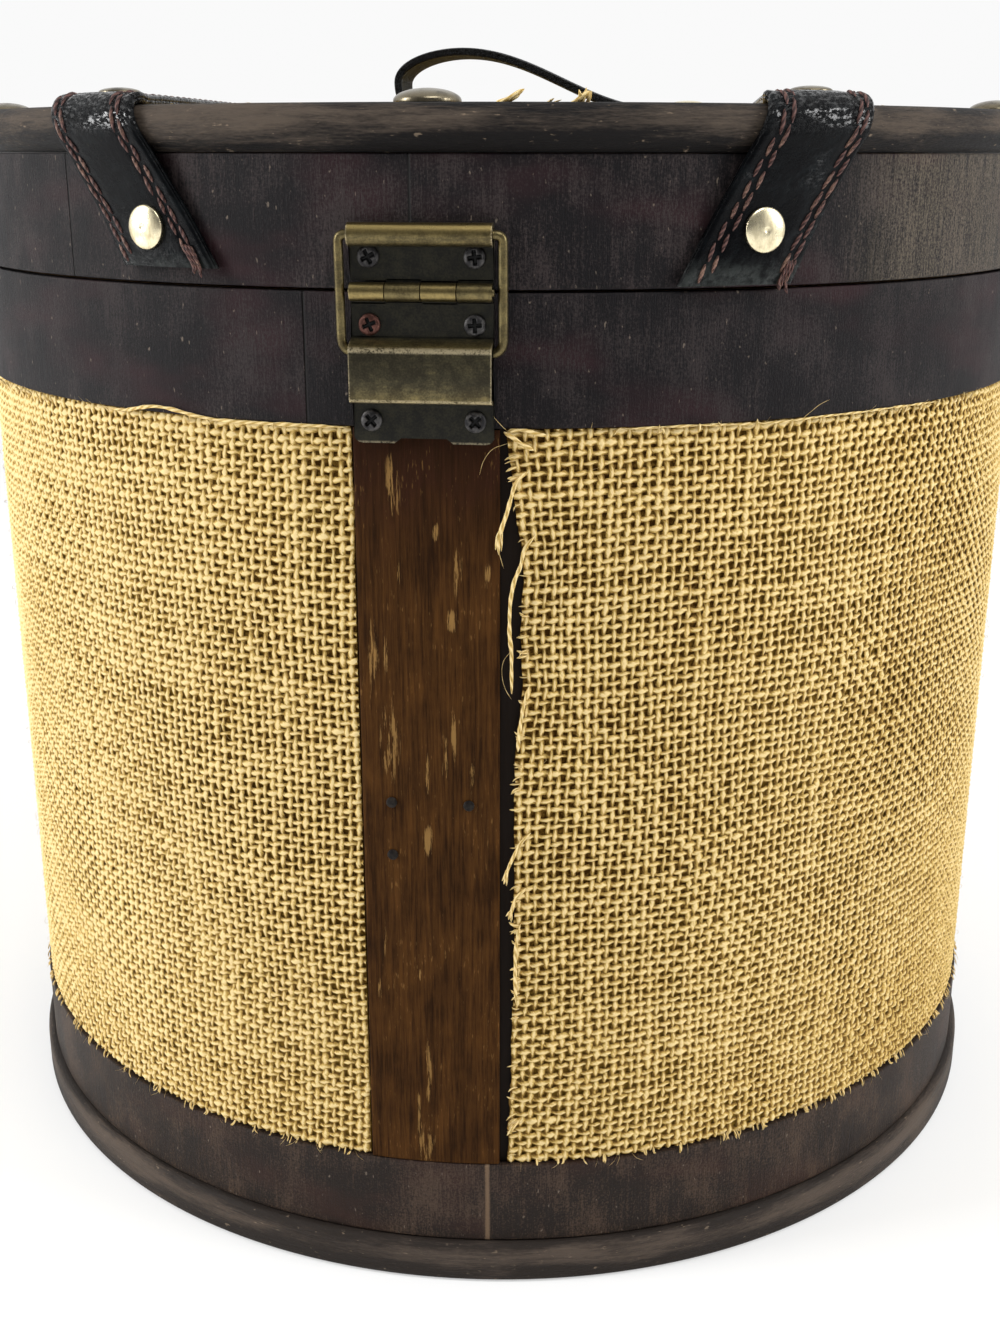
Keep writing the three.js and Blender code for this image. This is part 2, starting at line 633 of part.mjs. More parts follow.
// Flat spring lying at the back of the channel
const springTop = channelTop + LEAF_T + SPRING_END_GAP;
const springFoot = channelBottom - SPRING_END_GAP;
place(
  'hinge_spring',
  hingeBlock(-SPRING_W / 2, SPRING_W / 2, SPRING_SEAT_GAP, SPRING_SEAT_GAP + SPRING_T, -springFoot, -springTop),
  COLOURS.bronze,
);

// Pan-head screws with a crossed recess
const screwShankL = LEAF_BACK_GAP + LEAF_T + SCREW_BITE;
const screwPoints = [
  v2(0, -screwShankL),
  v2(SCREW_SHANK_R, -screwShankL),
  v2(SCREW_SHANK_R, 0),
  v2(SCREW_HEAD_R, 0),
  v2(SCREW_HEAD_R, SCREW_HEAD_H * 0.35),
  v2(SCREW_HEAD_R * 0.72, SCREW_HEAD_H * 0.85),
  v2(0, SCREW_HEAD_H),
];
const recessTools = [[RECESS_L, RECESS_W], [RECESS_W, RECESS_L]].map(([a, b]) => {
  const g = new THREE.BoxGeometry(a, b, 2 * RECESS_DEPTH);
  return g.translate(0, 0, SCREW_HEAD_H);
});
const screw = cut(revolve(screwPoints, 12), recessTools);
const screwSeatU = LEAF_BACK_GAP + LEAF_T + GLUE_GAP / 2;
const outward = new THREE.Vector3(0, -1, 0);
lidScrews.forEach(([x, w], i) => {
  place(`hinge_screw_lid_${i + 1}`, standOn(screw, hingePoint(x, screwSeatU, w), outward), COLOURS.bronze);
});
bodyScrews.forEach(([x, w], i) => {
  place(`hinge_screw_body_${i + 1}`, standOn(screw, hingePoint(x, screwSeatU, w), outward), COLOURS.bronze);
});

// Support bail: one bent wire, its two ends meeting inside the rolled end of the upper leaf
const corner = BAIL_CORNER_R;
const bailPath = new THREE.CurvePath();
const flat3 = (x, w) => new THREE.Vector3(x, 0, w);
const bend = (x0, w0, cx, cw, x1, w1) => new THREE.QuadraticBezierCurve3(flat3(x0, w0), flat3(cx, cw), flat3(x1, w1));
const half = BAIL_HALF_W;
bailPath.add(new THREE.LineCurve3(flat3(-BAIL_END_GAP / 2, 0), flat3(-half + corner / 2, 0)));
bailPath.add(bend(-half + corner / 2, 0, -half, 0, -half, -corner / 2));
bailPath.add(new THREE.LineCurve3(flat3(-half, -corner / 2), flat3(-half, -BAIL_L + corner)));
bailPath.add(bend(-half, -BAIL_L + corner, -half, -BAIL_L, -half + corner, -BAIL_L));
bailPath.add(new THREE.LineCurve3(flat3(-half + corner, -BAIL_L), flat3(half - corner, -BAIL_L)));
bailPath.add(bend(half - corner, -BAIL_L, half, -BAIL_L, half, -BAIL_L + corner));
bailPath.add(new THREE.LineCurve3(flat3(half, -BAIL_L + corner), flat3(half, -corner / 2)));
bailPath.add(bend(half, -corner / 2, half, 0, half - corner / 2, 0));
bailPath.add(new THREE.LineCurve3(flat3(half - corner / 2, 0), flat3(BAIL_END_GAP / 2, 0)));
const wireShape = new THREE.Shape();
wireShape.absarc(0, 0, WIRE_R, 0, 2 * Math.PI, false);
const bail = new THREE.ExtrudeGeometry(wireShape, {
  steps: 72,
  curveSegments: 3,
  bevelEnabled: false,
  extrudePath: bailPath,
});
bail.rotateX(THREE.MathUtils.degToRad(BAIL_TILT_DEG));
const rollCentre = hingePoint(0, rollU, ROLL_UP);
bail.translate(rollCentre.x, rollCentre.y, rollCentre.z);
place('support_bail', facingOut(bail), COLOURS.brass);

export default part;
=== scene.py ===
import math

import bpy
import numpy as np
from mathutils import Matrix


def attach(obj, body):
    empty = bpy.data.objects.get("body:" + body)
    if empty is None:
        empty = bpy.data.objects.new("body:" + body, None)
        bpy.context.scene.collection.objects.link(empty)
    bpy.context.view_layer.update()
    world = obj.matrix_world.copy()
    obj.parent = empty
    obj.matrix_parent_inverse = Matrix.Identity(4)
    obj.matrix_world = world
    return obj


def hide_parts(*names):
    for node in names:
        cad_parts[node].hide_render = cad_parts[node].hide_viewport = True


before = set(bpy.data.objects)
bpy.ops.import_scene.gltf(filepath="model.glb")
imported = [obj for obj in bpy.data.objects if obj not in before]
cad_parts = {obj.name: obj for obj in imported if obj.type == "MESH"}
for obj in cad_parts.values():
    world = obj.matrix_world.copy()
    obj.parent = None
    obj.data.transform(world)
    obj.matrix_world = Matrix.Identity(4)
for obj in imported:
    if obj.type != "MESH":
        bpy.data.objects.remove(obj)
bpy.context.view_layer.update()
scene = bpy.context.scene
scene.view_settings.view_transform = "Standard"


# The camera and the table.
# The box stands on a white table in an even white light, seen from its hinged side,
# a little from the right and from just above the lid.
EYE = np.array([0.0561, -0.4921, 0.2789])
PITCH = math.radians(17.96)
YAW = math.radians(-0.09)
ROLL = math.radians(0.05)
FOCAL = 36 * 1586.7 / 1333

to_box = math.atan2(-EYE[0], -EYE[1]) + YAW
ahead = np.array([math.sin(to_box), math.cos(to_box), 0.0])
level = np.array([math.cos(to_box), -math.sin(to_box), 0.0])
upright = np.array([0.0, 0.0, 1.0])
gaze = ahead * math.cos(PITCH) - upright * math.sin(PITCH)
lift = ahead * math.sin(PITCH) + upright * math.cos(PITCH)
image_right = level * math.cos(ROLL) + lift * math.sin(ROLL)
image_up = lift * math.cos(ROLL) - level * math.sin(ROLL)
camera = bpy.data.objects.new("camera", bpy.data.cameras.new("camera"))
scene.collection.objects.link(camera)
stance = np.eye(4)
stance[:3, 0], stance[:3, 1], stance[:3, 2], stance[:3, 3] = image_right, image_up, -gaze, EYE
camera.matrix_world = Matrix(stance.tolist())
camera.data.lens = FOCAL
camera.data.clip_start = 0.01
scene.camera = camera


class Tone:
    """A socket of a node tree. Arithmetic on it adds Math nodes; node() adds any other node."""

    def __init__(self, tree, socket=None):
        self.tree = tree
        self.socket = socket

    def node(self, kind, settings=None, sockets=None, out=0):
        """Adds a node: first its settings, then the values or links of its sockets."""
        made = self.tree.nodes.new(kind)
        for key, value in (settings or {}).items():
            setattr(made, key, value)
        for key, value in (sockets or {}).items():
            if isinstance(value, Tone):
                self.tree.links.new(value.socket, made.inputs[key])
            else:
                made.inputs[key].default_value = value
        return Tone(self.tree, made.outputs[out] if made.outputs else None)

    def maths(self, operation, *values):
        return self.node("ShaderNodeMath", {"operation": operation}, dict(enumerate(values)))

    def __add__(self, other):
        return self.maths("ADD", self, other)

    __radd__ = __add__

    def __sub__(self, other):
        return self.maths("SUBTRACT", self, other)

    def __rsub__(self, other):
        return self.maths("SUBTRACT", other, self)

    def __mul__(self, other):
        return self.maths("MULTIPLY", self, other)

    __rmul__ = __mul__

    def __truediv__(self, other):
        return self.maths("DIVIDE", self, other)

    def __gt__(self, other):
        return self.maths("GREATER_THAN", self, other)

    def __lt__(self, other):
        return self.maths("LESS_THAN", self, other)

    def __abs__(self):
        return self.maths("ABSOLUTE", self)


def new_finish(name):
    """Opens an empty material and returns it with the tone that its nodes grow from."""
    material = bpy.data.materials.new(name)
    material.use_nodes = True
    material.node_tree.nodes.clear()
    return material, Tone(material.node_tree)


def ease(tone, low, high):
    """Goes smoothly from 0 at low to 1 at high."""
    settings = {"interpolation_type": "SMOOTHSTEP"}
    return tone.node("ShaderNodeMapRange", settings, {"Value": tone, "From Min": low, "From Max": high})


def mingle(amount, first, second):
    """Mixes two colours by an amount."""
    return amount.node("ShaderNodeMix", {"data_type": "RGBA"}, {0: amount, 6: first, 7: second}, out=2)


def axis_of(spot, number):
    """The x, y or z of a spot, by its number from 0."""
    return spot.node("ShaderNodeSeparateXYZ", None, {"Vector": spot}, out=number)


def object_spot(tone):
    """The place on a piece in its own coordinates, which are the frame's."""
    return tone.node("ShaderNodeTexCoord", out=3)


def cloudy(tone, spot, stretch, detail=2.0, roughness=0.5):
    """Noise at a spot whose x, y and z are stretched by three factors."""
    where = tone.node("ShaderNodeVectorMath", {"operation": "MULTIPLY"}, {0: spot, 1: stretch})
    sockets = {"Vector": where, "Scale": 1.0, "Detail": detail, "Roughness": roughness}
    return tone.node("ShaderNodeTexNoise", None, sockets)


def close_finish(tone, sockets, height=None, depth=0.0003, strength=1.0):
    """Ends a material in one Principled surface, with the height as its bump."""
    if height is not None:
        bump = {"Height": height, "Distance": depth, "Strength": strength}
        sockets = {**sockets, "Normal": tone.node("ShaderNodeBump", None, bump)}
    surface = tone.node("ShaderNodeBsdfPrincipled", None, sockets)
    tone.node("ShaderNodeOutputMaterial", None, {"Surface": surface})


TABLE_WHITE = (0.93, 0.93, 0.93, 1)
TABLE_BRIGHT = (0.95, 0.95, 0.945, 1)
SHOWN_WHITE = 0.955
WALL_BRIGHT = 1.02
WALL_NEAR = 0.20
world = bpy.data.worlds.new("white_room")
scene.world = world
world.use_nodes = True
world.node_tree.nodes.clear()
room = Tone(world.node_tree)
sky = room.node("ShaderNodeTexCoord", out=0)
depth_of_room = axis_of(sky, 1)
seen = room.node("ShaderNodeLightPath", out=0)
wall_light = WALL_NEAR + (WALL_BRIGHT - WALL_NEAR) * ease(depth_of_room, -0.75, 0.15)
shown_light = seen * SHOWN_WHITE + (1.0 - seen) * wall_light
backdrop = room.node("ShaderNodeBackground", None, {"Color": (1, 1, 1, 1), "Strength": shown_light})
room.node("ShaderNodeOutputWorld", None, {"Surface": backdrop})

table_top = bpy.data.meshes.new("table_top")
table_top.from_pydata([(-4, -4, 0), (4, -4, 0), (4, 4, 0), (-4, 4, 0)], [], [(0, 1, 2, 3)])
table = bpy.data.objects.new("table_top", table_top)
scene.collection.objects.link(table)
table.location.z = -0.0003
table_finish, tone = new_finish("white_table")
spot = object_spot(tone)
mottle = cloudy(tone, spot, (6, 6, 6))
whiteness = mingle(mottle, TABLE_WHITE, TABLE_BRIGHT)
lit = tone.node("ShaderNodeBsdfDiffuse", None, {"Color": whiteness})
glow = tone.node("ShaderNodeEmission", None, {"Color": (1, 1, 0.995, 1), "Strength": SHOWN_WHITE})
by_eye = tone.node("ShaderNodeLightPath", out=0)
table_look = tone.node("ShaderNodeMixShader", None, {0: by_eye * 0.5, 1: lit, 2: glow})
tone.node("ShaderNodeOutputMaterial", None, {"Surface": table_look})
table_top.materials.append(table_finish)


def soft_box(name, place, aim, width, height, power):
    """A flat lamp at a place, turned to face the aim."""
    lamp = bpy.data.lights.new(name, "AREA")
    lamp.shape = "RECTANGLE"
    lamp.size, lamp.size_y, lamp.energy = width, height, power
    holder = bpy.data.objects.new(name, lamp)
    scene.collection.objects.link(holder)
    away = np.array(place, float) - np.array(aim, float)
    away /= np.linalg.norm(away)
    side = np.cross((0, 0, 1), away)
    side /= np.linalg.norm(side)
    turn = np.eye(4)
    turn[:3, 0], turn[:3, 1], turn[:3, 2], turn[:3, 3] = side, np.cross(away, side), away, place
    holder.matrix_world = Matrix(turn.tolist())


soft_box("lamp_over", (0.45, -0.75, 1.6), (0, 0, 0.1), 0.9, 0.5, 9.0)
soft_box("lamp_right", (1.3, -0.35, 0.75), (0, 0, 0.15), 0.4, 0.9, 9.5)
soft_box("lamp_left", (-1.3, -0.5, 0.7), (0, 0, 0.15), 0.4, 0.9, 16.5)


# The bare shell: a bent plywood wall with a plywood disc let into its foot.
# Pale untreated wood inside, its outer face darkened to near-black: partly its own darker face and partly
# painted shade for the narrow gap beside the batten; the wall's rim shows at the seam when the lid is up.
WALL_R = 0.1482
WALL_INSIDE_R = 0.1452
WALL_TOP = 0.2504
BOTTOM_R = 0.1449
BOTTOM_T = 0.006
WALL_EASE = 0.0004
BOTTOM_EASE = 0.0006
RAW_LIGHT = (0.50, 0.34, 0.19, 1)
RAW_DARK = (0.34, 0.21, 0.105, 1)
WALL_DARK_AND_SHADE = (0.009, 0.0055, 0.0035, 1)


def run_along(line):
    """Length along a line of points, from none at the first: the running sum of its chords."""
    return np.concatenate([[0], np.cumsum(np.linalg.norm(np.diff(line, axis=0), axis=1))])


def unit(rows):
    """Rows of vectors, each divided by its length."""
    return rows / np.linalg.norm(rows, axis=1, keepdims=True)


def stacked(*parts):
    """Arrays spread over one another and set side by side on a last axis."""
    return np.stack(np.broadcast_arrays(*parts), -1)


def skin(points, uv, turned=False, looped=False):
    """A grid of points, rows by columns, joined by quads. A turned grid closes its columns on
    themselves and a looped one its rows; a row that falls together is one pole. The uv grid has one
    column or row more than the points where the grid closes. Gives points, faces and corner uvs."""
    rows, columns = points.shape[:2]
    index = np.arange(rows * columns).reshape(rows, columns)
    poles = np.ptp(points, axis=1).max(axis=1) < 1e-9
    index[poles] = index[poles][:, :1]
    index = np.hstack([index, index[:, :1]]) if turned else index
    index = np.vstack([index, index[:1]]) if looped else index
    quads = np.stack([index[:-1, :-1], index[:-1, 1:], index[1:, 1:], index[1:, :-1]], -1).reshape(-1, 4)
    marks = np.stack([uv[:-1, :-1], uv[:-1, 1:], uv[1:, 1:], uv[1:, :-1]], -2).reshape(-1, 4, 2)
    first_pole = quads[:, 0] == quads[:, 1]
    last_pole = quads[:, 2] == quads[:, 3]
    whole = ~(first_pole | last_pole)
    faces = [quads[whole], quads[first_pole][:, 1:], quads[last_pole][:, :3]]
    corners = [marks[whole], marks[first_pole][:, 1:], marks[last_pole][:, :3]]
    used, packed = np.unique(np.concatenate([f.ravel() for f in faces]), return_inverse=True)
    splits = np.cumsum([f.size for f in faces])[:-1]
    faces = [p.reshape(f.shape).tolist() for p, f in zip(np.split(packed, splits), faces)]
    corner_uvs = np.concatenate([c.reshape(-1, 2) for c in corners])
    return points.reshape(-1, 3)[used], sum(faces, []), corner_uvs


def put_mesh(name, *skins, sharp=40):
    """Puts one or more skins, each of points, faces and corner uvs, into one mesh."""
    starts = np.cumsum([0] + [len(points) for points, _, _ in skins])
    faces = [[i + start for i in face] for (_, some, _), start in zip(skins, starts) for face in some]
    mesh = bpy.data.meshes.new(name)
    mesh.from_pydata(np.concatenate([points for points, _, _ in skins]).tolist(), [], faces)
    marks = np.concatenate([corner_uvs for _, _, corner_uvs in skins])
    mesh.uv_layers.new(name="UVMap").data.foreach_set("uv", marks.astype(np.float32).ravel())
    mesh.polygons.foreach_set("use_smooth", np.ones(len(faces), bool))
    mesh.set_sharp_from_angle(angle=math.radians(sharp))
    mesh.update()
    piece = bpy.data.objects.new(name, mesh)
    scene.collection.objects.link(piece)
    return piece


def settle(piece, finish, body, slot, *nodes):
    """Gives a piece its finish and the body that it moves with, and hides the nodes that it stands for."""
    piece.data.materials.append(finish)
    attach(piece, body)
    if nodes:
        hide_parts(*nodes)
    return piece


def eased(corners, cuts, closed=True, steps=4):
    """An outline whose corners are rounded: each is replaced by the parabola that touches both
    of its edges at the cut's distance, with one more point beside it to keep the flats flat."""
    corners = np.asarray(corners, float)
    cuts = np.broadcast_to(np.asarray(cuts, float), len(corners))[:, None, None]
    before = np.roll(corners, 1, 0) - corners
    after = np.roll(corners, -1, 0) - corners
    reach_in, reach_out = unit(before), unit(after)
    t = np.linspace(0, 1, steps + 1)[None, :, None]
    blend = (1 - t) ** 2 * reach_in[:, None] + t**2 * reach_out[:, None]
    blend = np.concatenate([1.6 * reach_in[:, None], blend, 1.6 * reach_out[:, None]], 1)
    outline = corners[:, None] + cuts * blend
    if closed:
        return outline.reshape(-1, 2)
    return np.vstack([corners[:1], outline[1:-1].reshape(-1, 2), corners[-1:]])


def turn_outline(name, outline, columns=192, start=0.0, closed=True, sharp=40):
    """An outline of (radius, height) turned round the upright axis: x = r sin a, y = -r cos a,
    with a counted from the hinge towards +X. Its uv is metres round and metres along the outline."""
    angle = start + np.arange(columns + 1) * 2 * np.pi / columns
    radius, height = outline[:, :1], outline[:, 1:]
    points = stacked(radius * np.sin(angle[:-1]), -radius * np.cos(angle[:-1]), height)
    loop = np.vstack([outline, outline[:1]]) if closed else outline
    along = run_along(loop)
    arc = (angle - start) * outline[:, 0].max()
    uv = stacked(arc[None, :], along[:, None])
    return put_mesh(name, skin(points, uv, turned=True, looped=closed), sharp=sharp)


def box_outline(inner, outer, low, high):
    """The four corners of a ring's section, counted so that the turned faces look outwards."""
    return np.array([(outer, low), (outer, high), (inner, high), (inner, low)])


def disc_outline(radius, low, high, cut):
    """The half section of a disc from the middle of its underside to the middle of its top."""
    return eased([(0, low), (radius, low), (radius, high), (0, high)], cut, closed=False)


def bare_ply(tone, spot, broad, fine):
    """Pale wood with broad bands and fine pores, two noises stretched along the grain. Gives its
    colour and the pores."""
    bands = cloudy(tone, spot, broad, 3.0)
    pores = cloudy(tone, spot, fine, 2.0)
    return mingle(ease(bands * 0.7 + pores * 0.3, 0.35, 0.65), RAW_DARK, RAW_LIGHT), pores


def off_axis(tone, place):
    """Distance of a place from the upright axis: the length of its x and y."""
    flat = tone.node("ShaderNodeVectorMath", {"operation": "MULTIPLY"}, {0: place, 1: (1, 1, 0)})
    return tone.node("ShaderNodeVectorMath", {"operation": "LENGTH"}, {0: flat}, out=1)


raw_wood, tone = new_finish("raw_plywood")
colour, pores = bare_ply(tone, object_spot(tone), (9, 120, 14), (60, 1500, 90))
sockets = {"Base Color": colour, "Roughness": 0.62 + 0.2 * pores}
close_finish(tone, sockets, pores, depth=0.0001)

bottom_outline = disc_outline(BOTTOM_R, 0, BOTTOM_T, BOTTOM_EASE)
bottom = turn_outline("bottom_panel_ply", bottom_outline, 128, closed=False)
settle(bottom, raw_wood, "box", "raw_wood", "bottom_panel")

wall_raw, tone = new_finish("raw_bent_wall")
colour, pores = bare_ply(tone, tone.node("ShaderNodeUVMap"), (140, 9, 1), (1500, 70, 1))
# The outer face is darkened to near-black, partly its own colour and partly painted shade for the narrow gap
# beside the batten.
outer_dark_and_shade = ease(off_axis(tone, object_spot(tone)), WALL_R - 0.0009, WALL_R - 0.0006)
colour = mingle(outer_dark_and_shade, colour, WALL_DARK_AND_SHADE)
sockets = {"Base Color": colour, "Roughness": 0.62 + 0.2 * pores, "Specular IOR Level": 0.1}
close_finish(tone, sockets, pores, depth=0.0001)
wall_outline = eased(box_outline(WALL_INSIDE_R, WALL_R, 0, WALL_TOP), WALL_EASE)
wall = turn_outline("body_wall_ply", wall_outline, start=math.pi)
settle(wall, wall_raw, "box", "raw_wood", "body_wall")


# Base hoop: a rounded wooden moulding bent round the foot and glued to the wall.
# Stained a dull dark brown, its grain running along the bend, rubbed paler and dented
# where it is touched, and browner along its upper outer edge, partly wear and partly a painted highlight.
FOOT_IN_R = 0.1485
FOOT_OUT_R = 0.1527
FOOT_TOP = 0.0108
FOOT_EASE = (0.0014, 0.0021, 0.0004, 0.0004)
HOOP_DARK = (0.0215, 0.0162, 0.0132, 1)
HOOP_BROWN = (0.090, 0.068, 0.053, 1)
HOOP_CHIP = (0.24, 0.18, 0.125, 1)


def rubbed_hoop(name, crest, reach, dark, brown):
    """Wood under a dark stain, its grain along u, worn to a brown in streaks and over broad stretches, and
    browner within a reach of a crest line on v, partly wear and partly a painted highlight where the light
    falls on the crest."""
    finish, tone = new_finish(name)
    spot = tone.node("ShaderNodeUVMap")
    v = axis_of(spot, 1)
    streaks = cloudy(tone, spot, (45, 520, 1), 5.0, 0.66)
    hairs = cloudy(tone, spot, (420, 2600, 1), 3.0, 0.65)
    patches = cloudy(tone, spot, (42, 210, 1), 5.0, 0.62)
    dents = cloudy(tone, spot, (420, 520, 1), 2.0)
    # Along the crest the brown is partly wear and partly a painted highlight, where light falls on top.
    crest_wear_and_highlight = 1.0 - ease(abs(v - crest), 0.0, reach)
    broad = cloudy(tone, spot, (11, 3, 1), 2.0)
    touched = streaks * 0.9 + patches * 1.1 + hairs * 0.5 + crest_wear_and_highlight * 0.45 + broad * 1.6
    rub = ease(touched, 2.08, 2.72)
    colour = mingle(rub, dark, brown)
    colour = mingle(ease(dents * 0.6 + hairs * 0.4, 0.61, 0.68) * 0.6, colour, HOOP_CHIP)
    rough = 0.42 + 0.3 * streaks + 0.1 * rub
    sockets = {"Base Color": colour, "Roughness": rough, "Specular IOR Level": 0.14}
    close_finish(tone, sockets, streaks * 0.7 + hairs * 0.5 + patches * 1.5, depth=0.0005)
    return finish


foot_outline = eased(box_outline(FOOT_IN_R, FOOT_OUT_R, 0.0, FOOT_TOP), FOOT_EASE, steps=6)
base_hoop = turn_outline("base_hoop_moulding", foot_outline, 240, start=2.2)
foot_stain = rubbed_hoop("rubbed_base_hoop", 0.009, 0.006, HOOP_DARK, HOOP_BROWN)
settle(base_hoop, foot_stain, "box", "stained_wood", "base_hoop")


# Lower and upper bands: strips of thin ply bent round the wall and butted end to end.
# Stained a cold brown-black across a fine upright grain, with the butt joint left open a hair.
BAND_IN_R = 0.1484
BAND_OUT_R = 0.1505
BAND_EASE = 0.0005
LOWER_SPAN = (0.0111, 0.0336)
UPPER_SPAN = (0.2215, 0.2504)
LOWER_JOINT_AT = 5.1
UPPER_JOINT_AT = -10.2
BAND_DARK = (0.0030, 0.0022, 0.0030, 1)
BAND_LIGHT = (0.033, 0.0245, 0.0240, 1)
BAND_RED = (0.022, 0.0066, 0.0086, 1)
BAND_CHIP = (0.17, 0.135, 0.105, 1)
BAND_SHEEN = (0.118, 0.096, 0.070, 1)
BAND_JOINT = (0.004, 0.003, 0.003, 1)
BAND_STAIN = (BAND_DARK, BAND_RED, BAND_LIGHT)
UPPER_LIGHT = (0.0265, 0.0200, 0.0200, 1)
LOWER_DARK = (0.0140, 0.0094, 0.0074, 1)
LOWER_RED = (0.030, 0.0132, 0.0096, 1)
LOWER_LIGHT = (0.064, 0.0405, 0.0275, 1)
LOWER_JOINT = (0.15, 0.098, 0.060, 1)


def stained_band(name, joint_colour=BAND_JOINT, split=0.0004, further=None, stain=BAND_STAIN, wear_and_sheen=None):
    """Stain over an upright grain on v, of a dark, a flushed and a worn colour, with a thin line at the
    butt joint where u starts and ends, and at a further joint where there is one. A stretch between two
    values of u, where one is given, carries a pale painted sheen over the fine grain."""
    finish, tone = new_finish(name)
    spot = tone.node("ShaderNodeUVMap")
    u = axis_of(spot, 0)
    clouds = cloudy(tone, spot, (60, 42, 1), 5.0, 0.62)
    flush = cloudy(tone, spot, (19, 46, 1), 3.0, 0.5)
    grain = cloudy(tone, spot, (1300, 60, 1), 4.0, 0.7)
    hairs = cloudy(tone, spot, (3600, 700, 1), 3.0, 0.65)
    specks = cloudy(tone, spot, (1700, 1700, 1), 3.0, 0.7)
    nicks = cloudy(tone, spot, (900, 420, 1), 2.0, 0.5)
    wear = clouds * 0.45 + grain * 0.30 + hairs * 0.30 + specks * 0.36
    tint = ease(wear, 0.66, 0.82)
    dark, flushed, worn = stain
    colour = mingle(ease(flush, 0.47, 0.66) * 0.85, dark, flushed)
    colour = mingle(tint, colour, worn)
    # Painted sheen: a pale stretch of the band that stands in for the glancing reflection on that side.
    if wear_and_sheen is not None:
        start, stop = wear_and_sheen
        stretch = ease(u, start, start + 0.03) * (1.0 - ease(u, stop - 0.03, stop))
        fine = ease(grain * 0.5 + hairs * 0.5 + specks * 0.5, 0.62, 0.92)
        colour = mingle(stretch * fine, colour, BAND_SHEEN)
    colour = mingle(ease(nicks, 0.69, 0.76) * 0.75, colour, BAND_CHIP)
    edge = u.maths("MINIMUM", u, 2 * math.pi * BAND_OUT_R - u)
    if further is not None:
        edge = u.maths("MINIMUM", edge, abs(u - further))
    torn = edge + (specks * 0.4 + clouds * 0.6 - 0.5) * 2.4 * split
    colour = mingle(1.0 - ease(torn, split * 0.4, split), colour, joint_colour)
    sockets = {"Base Color": colour, "Roughness": 0.40 + 0.30 * grain, "Specular IOR Level": 0.15}
    height = grain * 0.5 + hairs * 0.4 + specks * 0.5 + ease(edge, 0.0, split) * 1.2
    close_finish(tone, sockets, height, depth=0.00035)
    return finish


def stained_ring(name, low, high, joint_degrees):
    """A bent ply strip between two heights, its butt joint at an angle from the hinge."""
    outline = eased(box_outline(BAND_IN_R, BAND_OUT_R, low, high), BAND_EASE)
    return turn_outline(name, outline, 240, start=math.radians(joint_degrees))


lower_band = stained_ring("lower_band_strip", *LOWER_SPAN, LOWER_JOINT_AT)
lower_colours = (LOWER_DARK, LOWER_RED, LOWER_LIGHT)
lower_stain = stained_band("stained_lower_band", LOWER_JOINT, 0.0008, stain=lower_colours)
settle(lower_band, lower_stain, "box", "stained_wood", "lower_band")
upper_band = stained_ring("upper_band_strip", *UPPER_SPAN, UPPER_JOINT_AT)
upper_stain = stained_band("stained_upper_band", stain=(BAND_DARK, BAND_RED, UPPER_LIGHT))
settle(upper_band, upper_stain, "box", "stained_wood", "upper_band")


# Hessian wrap: one strip of plain-woven jute, glued round the wall with its raw ends at the batten.
# Golden tan yarns of uneven thickness over a dark film, partly the glue and wall seen between them and
# partly painted shade for the gaps, darkest near the batten and on the right and lightened towards the
# sides, the foot and the left; the raw edge beside the batten wanders, and yarns that have come out of it
# hang over the gap.
PITCH_ACROSS = 0.00222
PITCH_UP = 0.00224
WRAP_LOW = 0.0339
WRAP_HIGH = 0.2212
WRAP_R = 0.14955
FILM_R = 0.14857
FILM_T = 0.00015
YARN_R = 0.14888
WARP_HALF = 0.00063
WEFT_HALF = 0.00064
YARN_RISE = 0.00050
WAVE = 0.00042
LEAN = 0.085
WRAP_FROM = math.radians(7.6)
WRAP_TO = math.radians(353.5)
CUT_LINE = (
    (0.0339, 7.3), (0.064, 7.45), (0.0864, 7.6), (0.108, 7.63), (0.1185, 7.7), (0.1314, 7.5),
    (0.1465, 7.8), (0.1613, 8.2), (0.1733, 8.2), (0.1874, 8.3), (0.1955, 8.1), (0.2012, 7.7),
    (0.2124, 7.25), (0.2212, 6.75),
)
CUT_HEIGHTS, CUT_DEGREES = zip(*CUT_LINE)
JUTE_PALE = (0.86, 0.675, 0.335, 1)
JUTE_LIGHT = (0.655, 0.458, 0.150, 1)
JUTE_MID = (0.475, 0.300, 0.074, 1)
JUTE_DEEP = (0.20, 0.108, 0.020, 1)
GAP_FILM_SHADE = (0.046, 0.0195, 0.0030, 1)
GAP_FILM_LIGHTENED = (0.33, 0.195, 0.028, 1)


def gentle_waves(seed, a, b, spans, size):
    """A sum of slanting sine waves of a and b, one for each span, with seeded slants and phases."""
    dice = np.random.default_rng(seed)
    waves = 0.0
    for span in spans:
        slant, phase = dice.uniform(0, 2 * np.pi, 2)
        waves = waves + np.sin(2 * np.pi * (a * np.cos(slant) + b * np.sin(slant)) / span + phase)
    return size * waves / len(spans)


def pulled_in(arc, up):
    """How far the raw edge beside the batten draws the cloth along its arc: the measured line of the
    edge plus small waves, fading away from it as a bell curve."""
    edge = np.radians(np.interp(up, CUT_HEIGHTS, CUT_DEGREES)) - WRAP_FROM
    ragged = gentle_waves(3, up, 0 * up, (0.023, 0.011, 0.0068), 0.0004)
    return (edge * WRAP_R + ragged) * np.exp(-(((arc - WRAP_FROM * WRAP_R) / 0.011) ** 2))


def on_cylinder(arc, up, radius):
    """Points at arcs, heights and radii round the upright axis."""
    turn = (arc + pulled_in(arc, up)) / WRAP_R
    return stacked(radius * np.sin(turn), -radius * np.cos(turn), up)


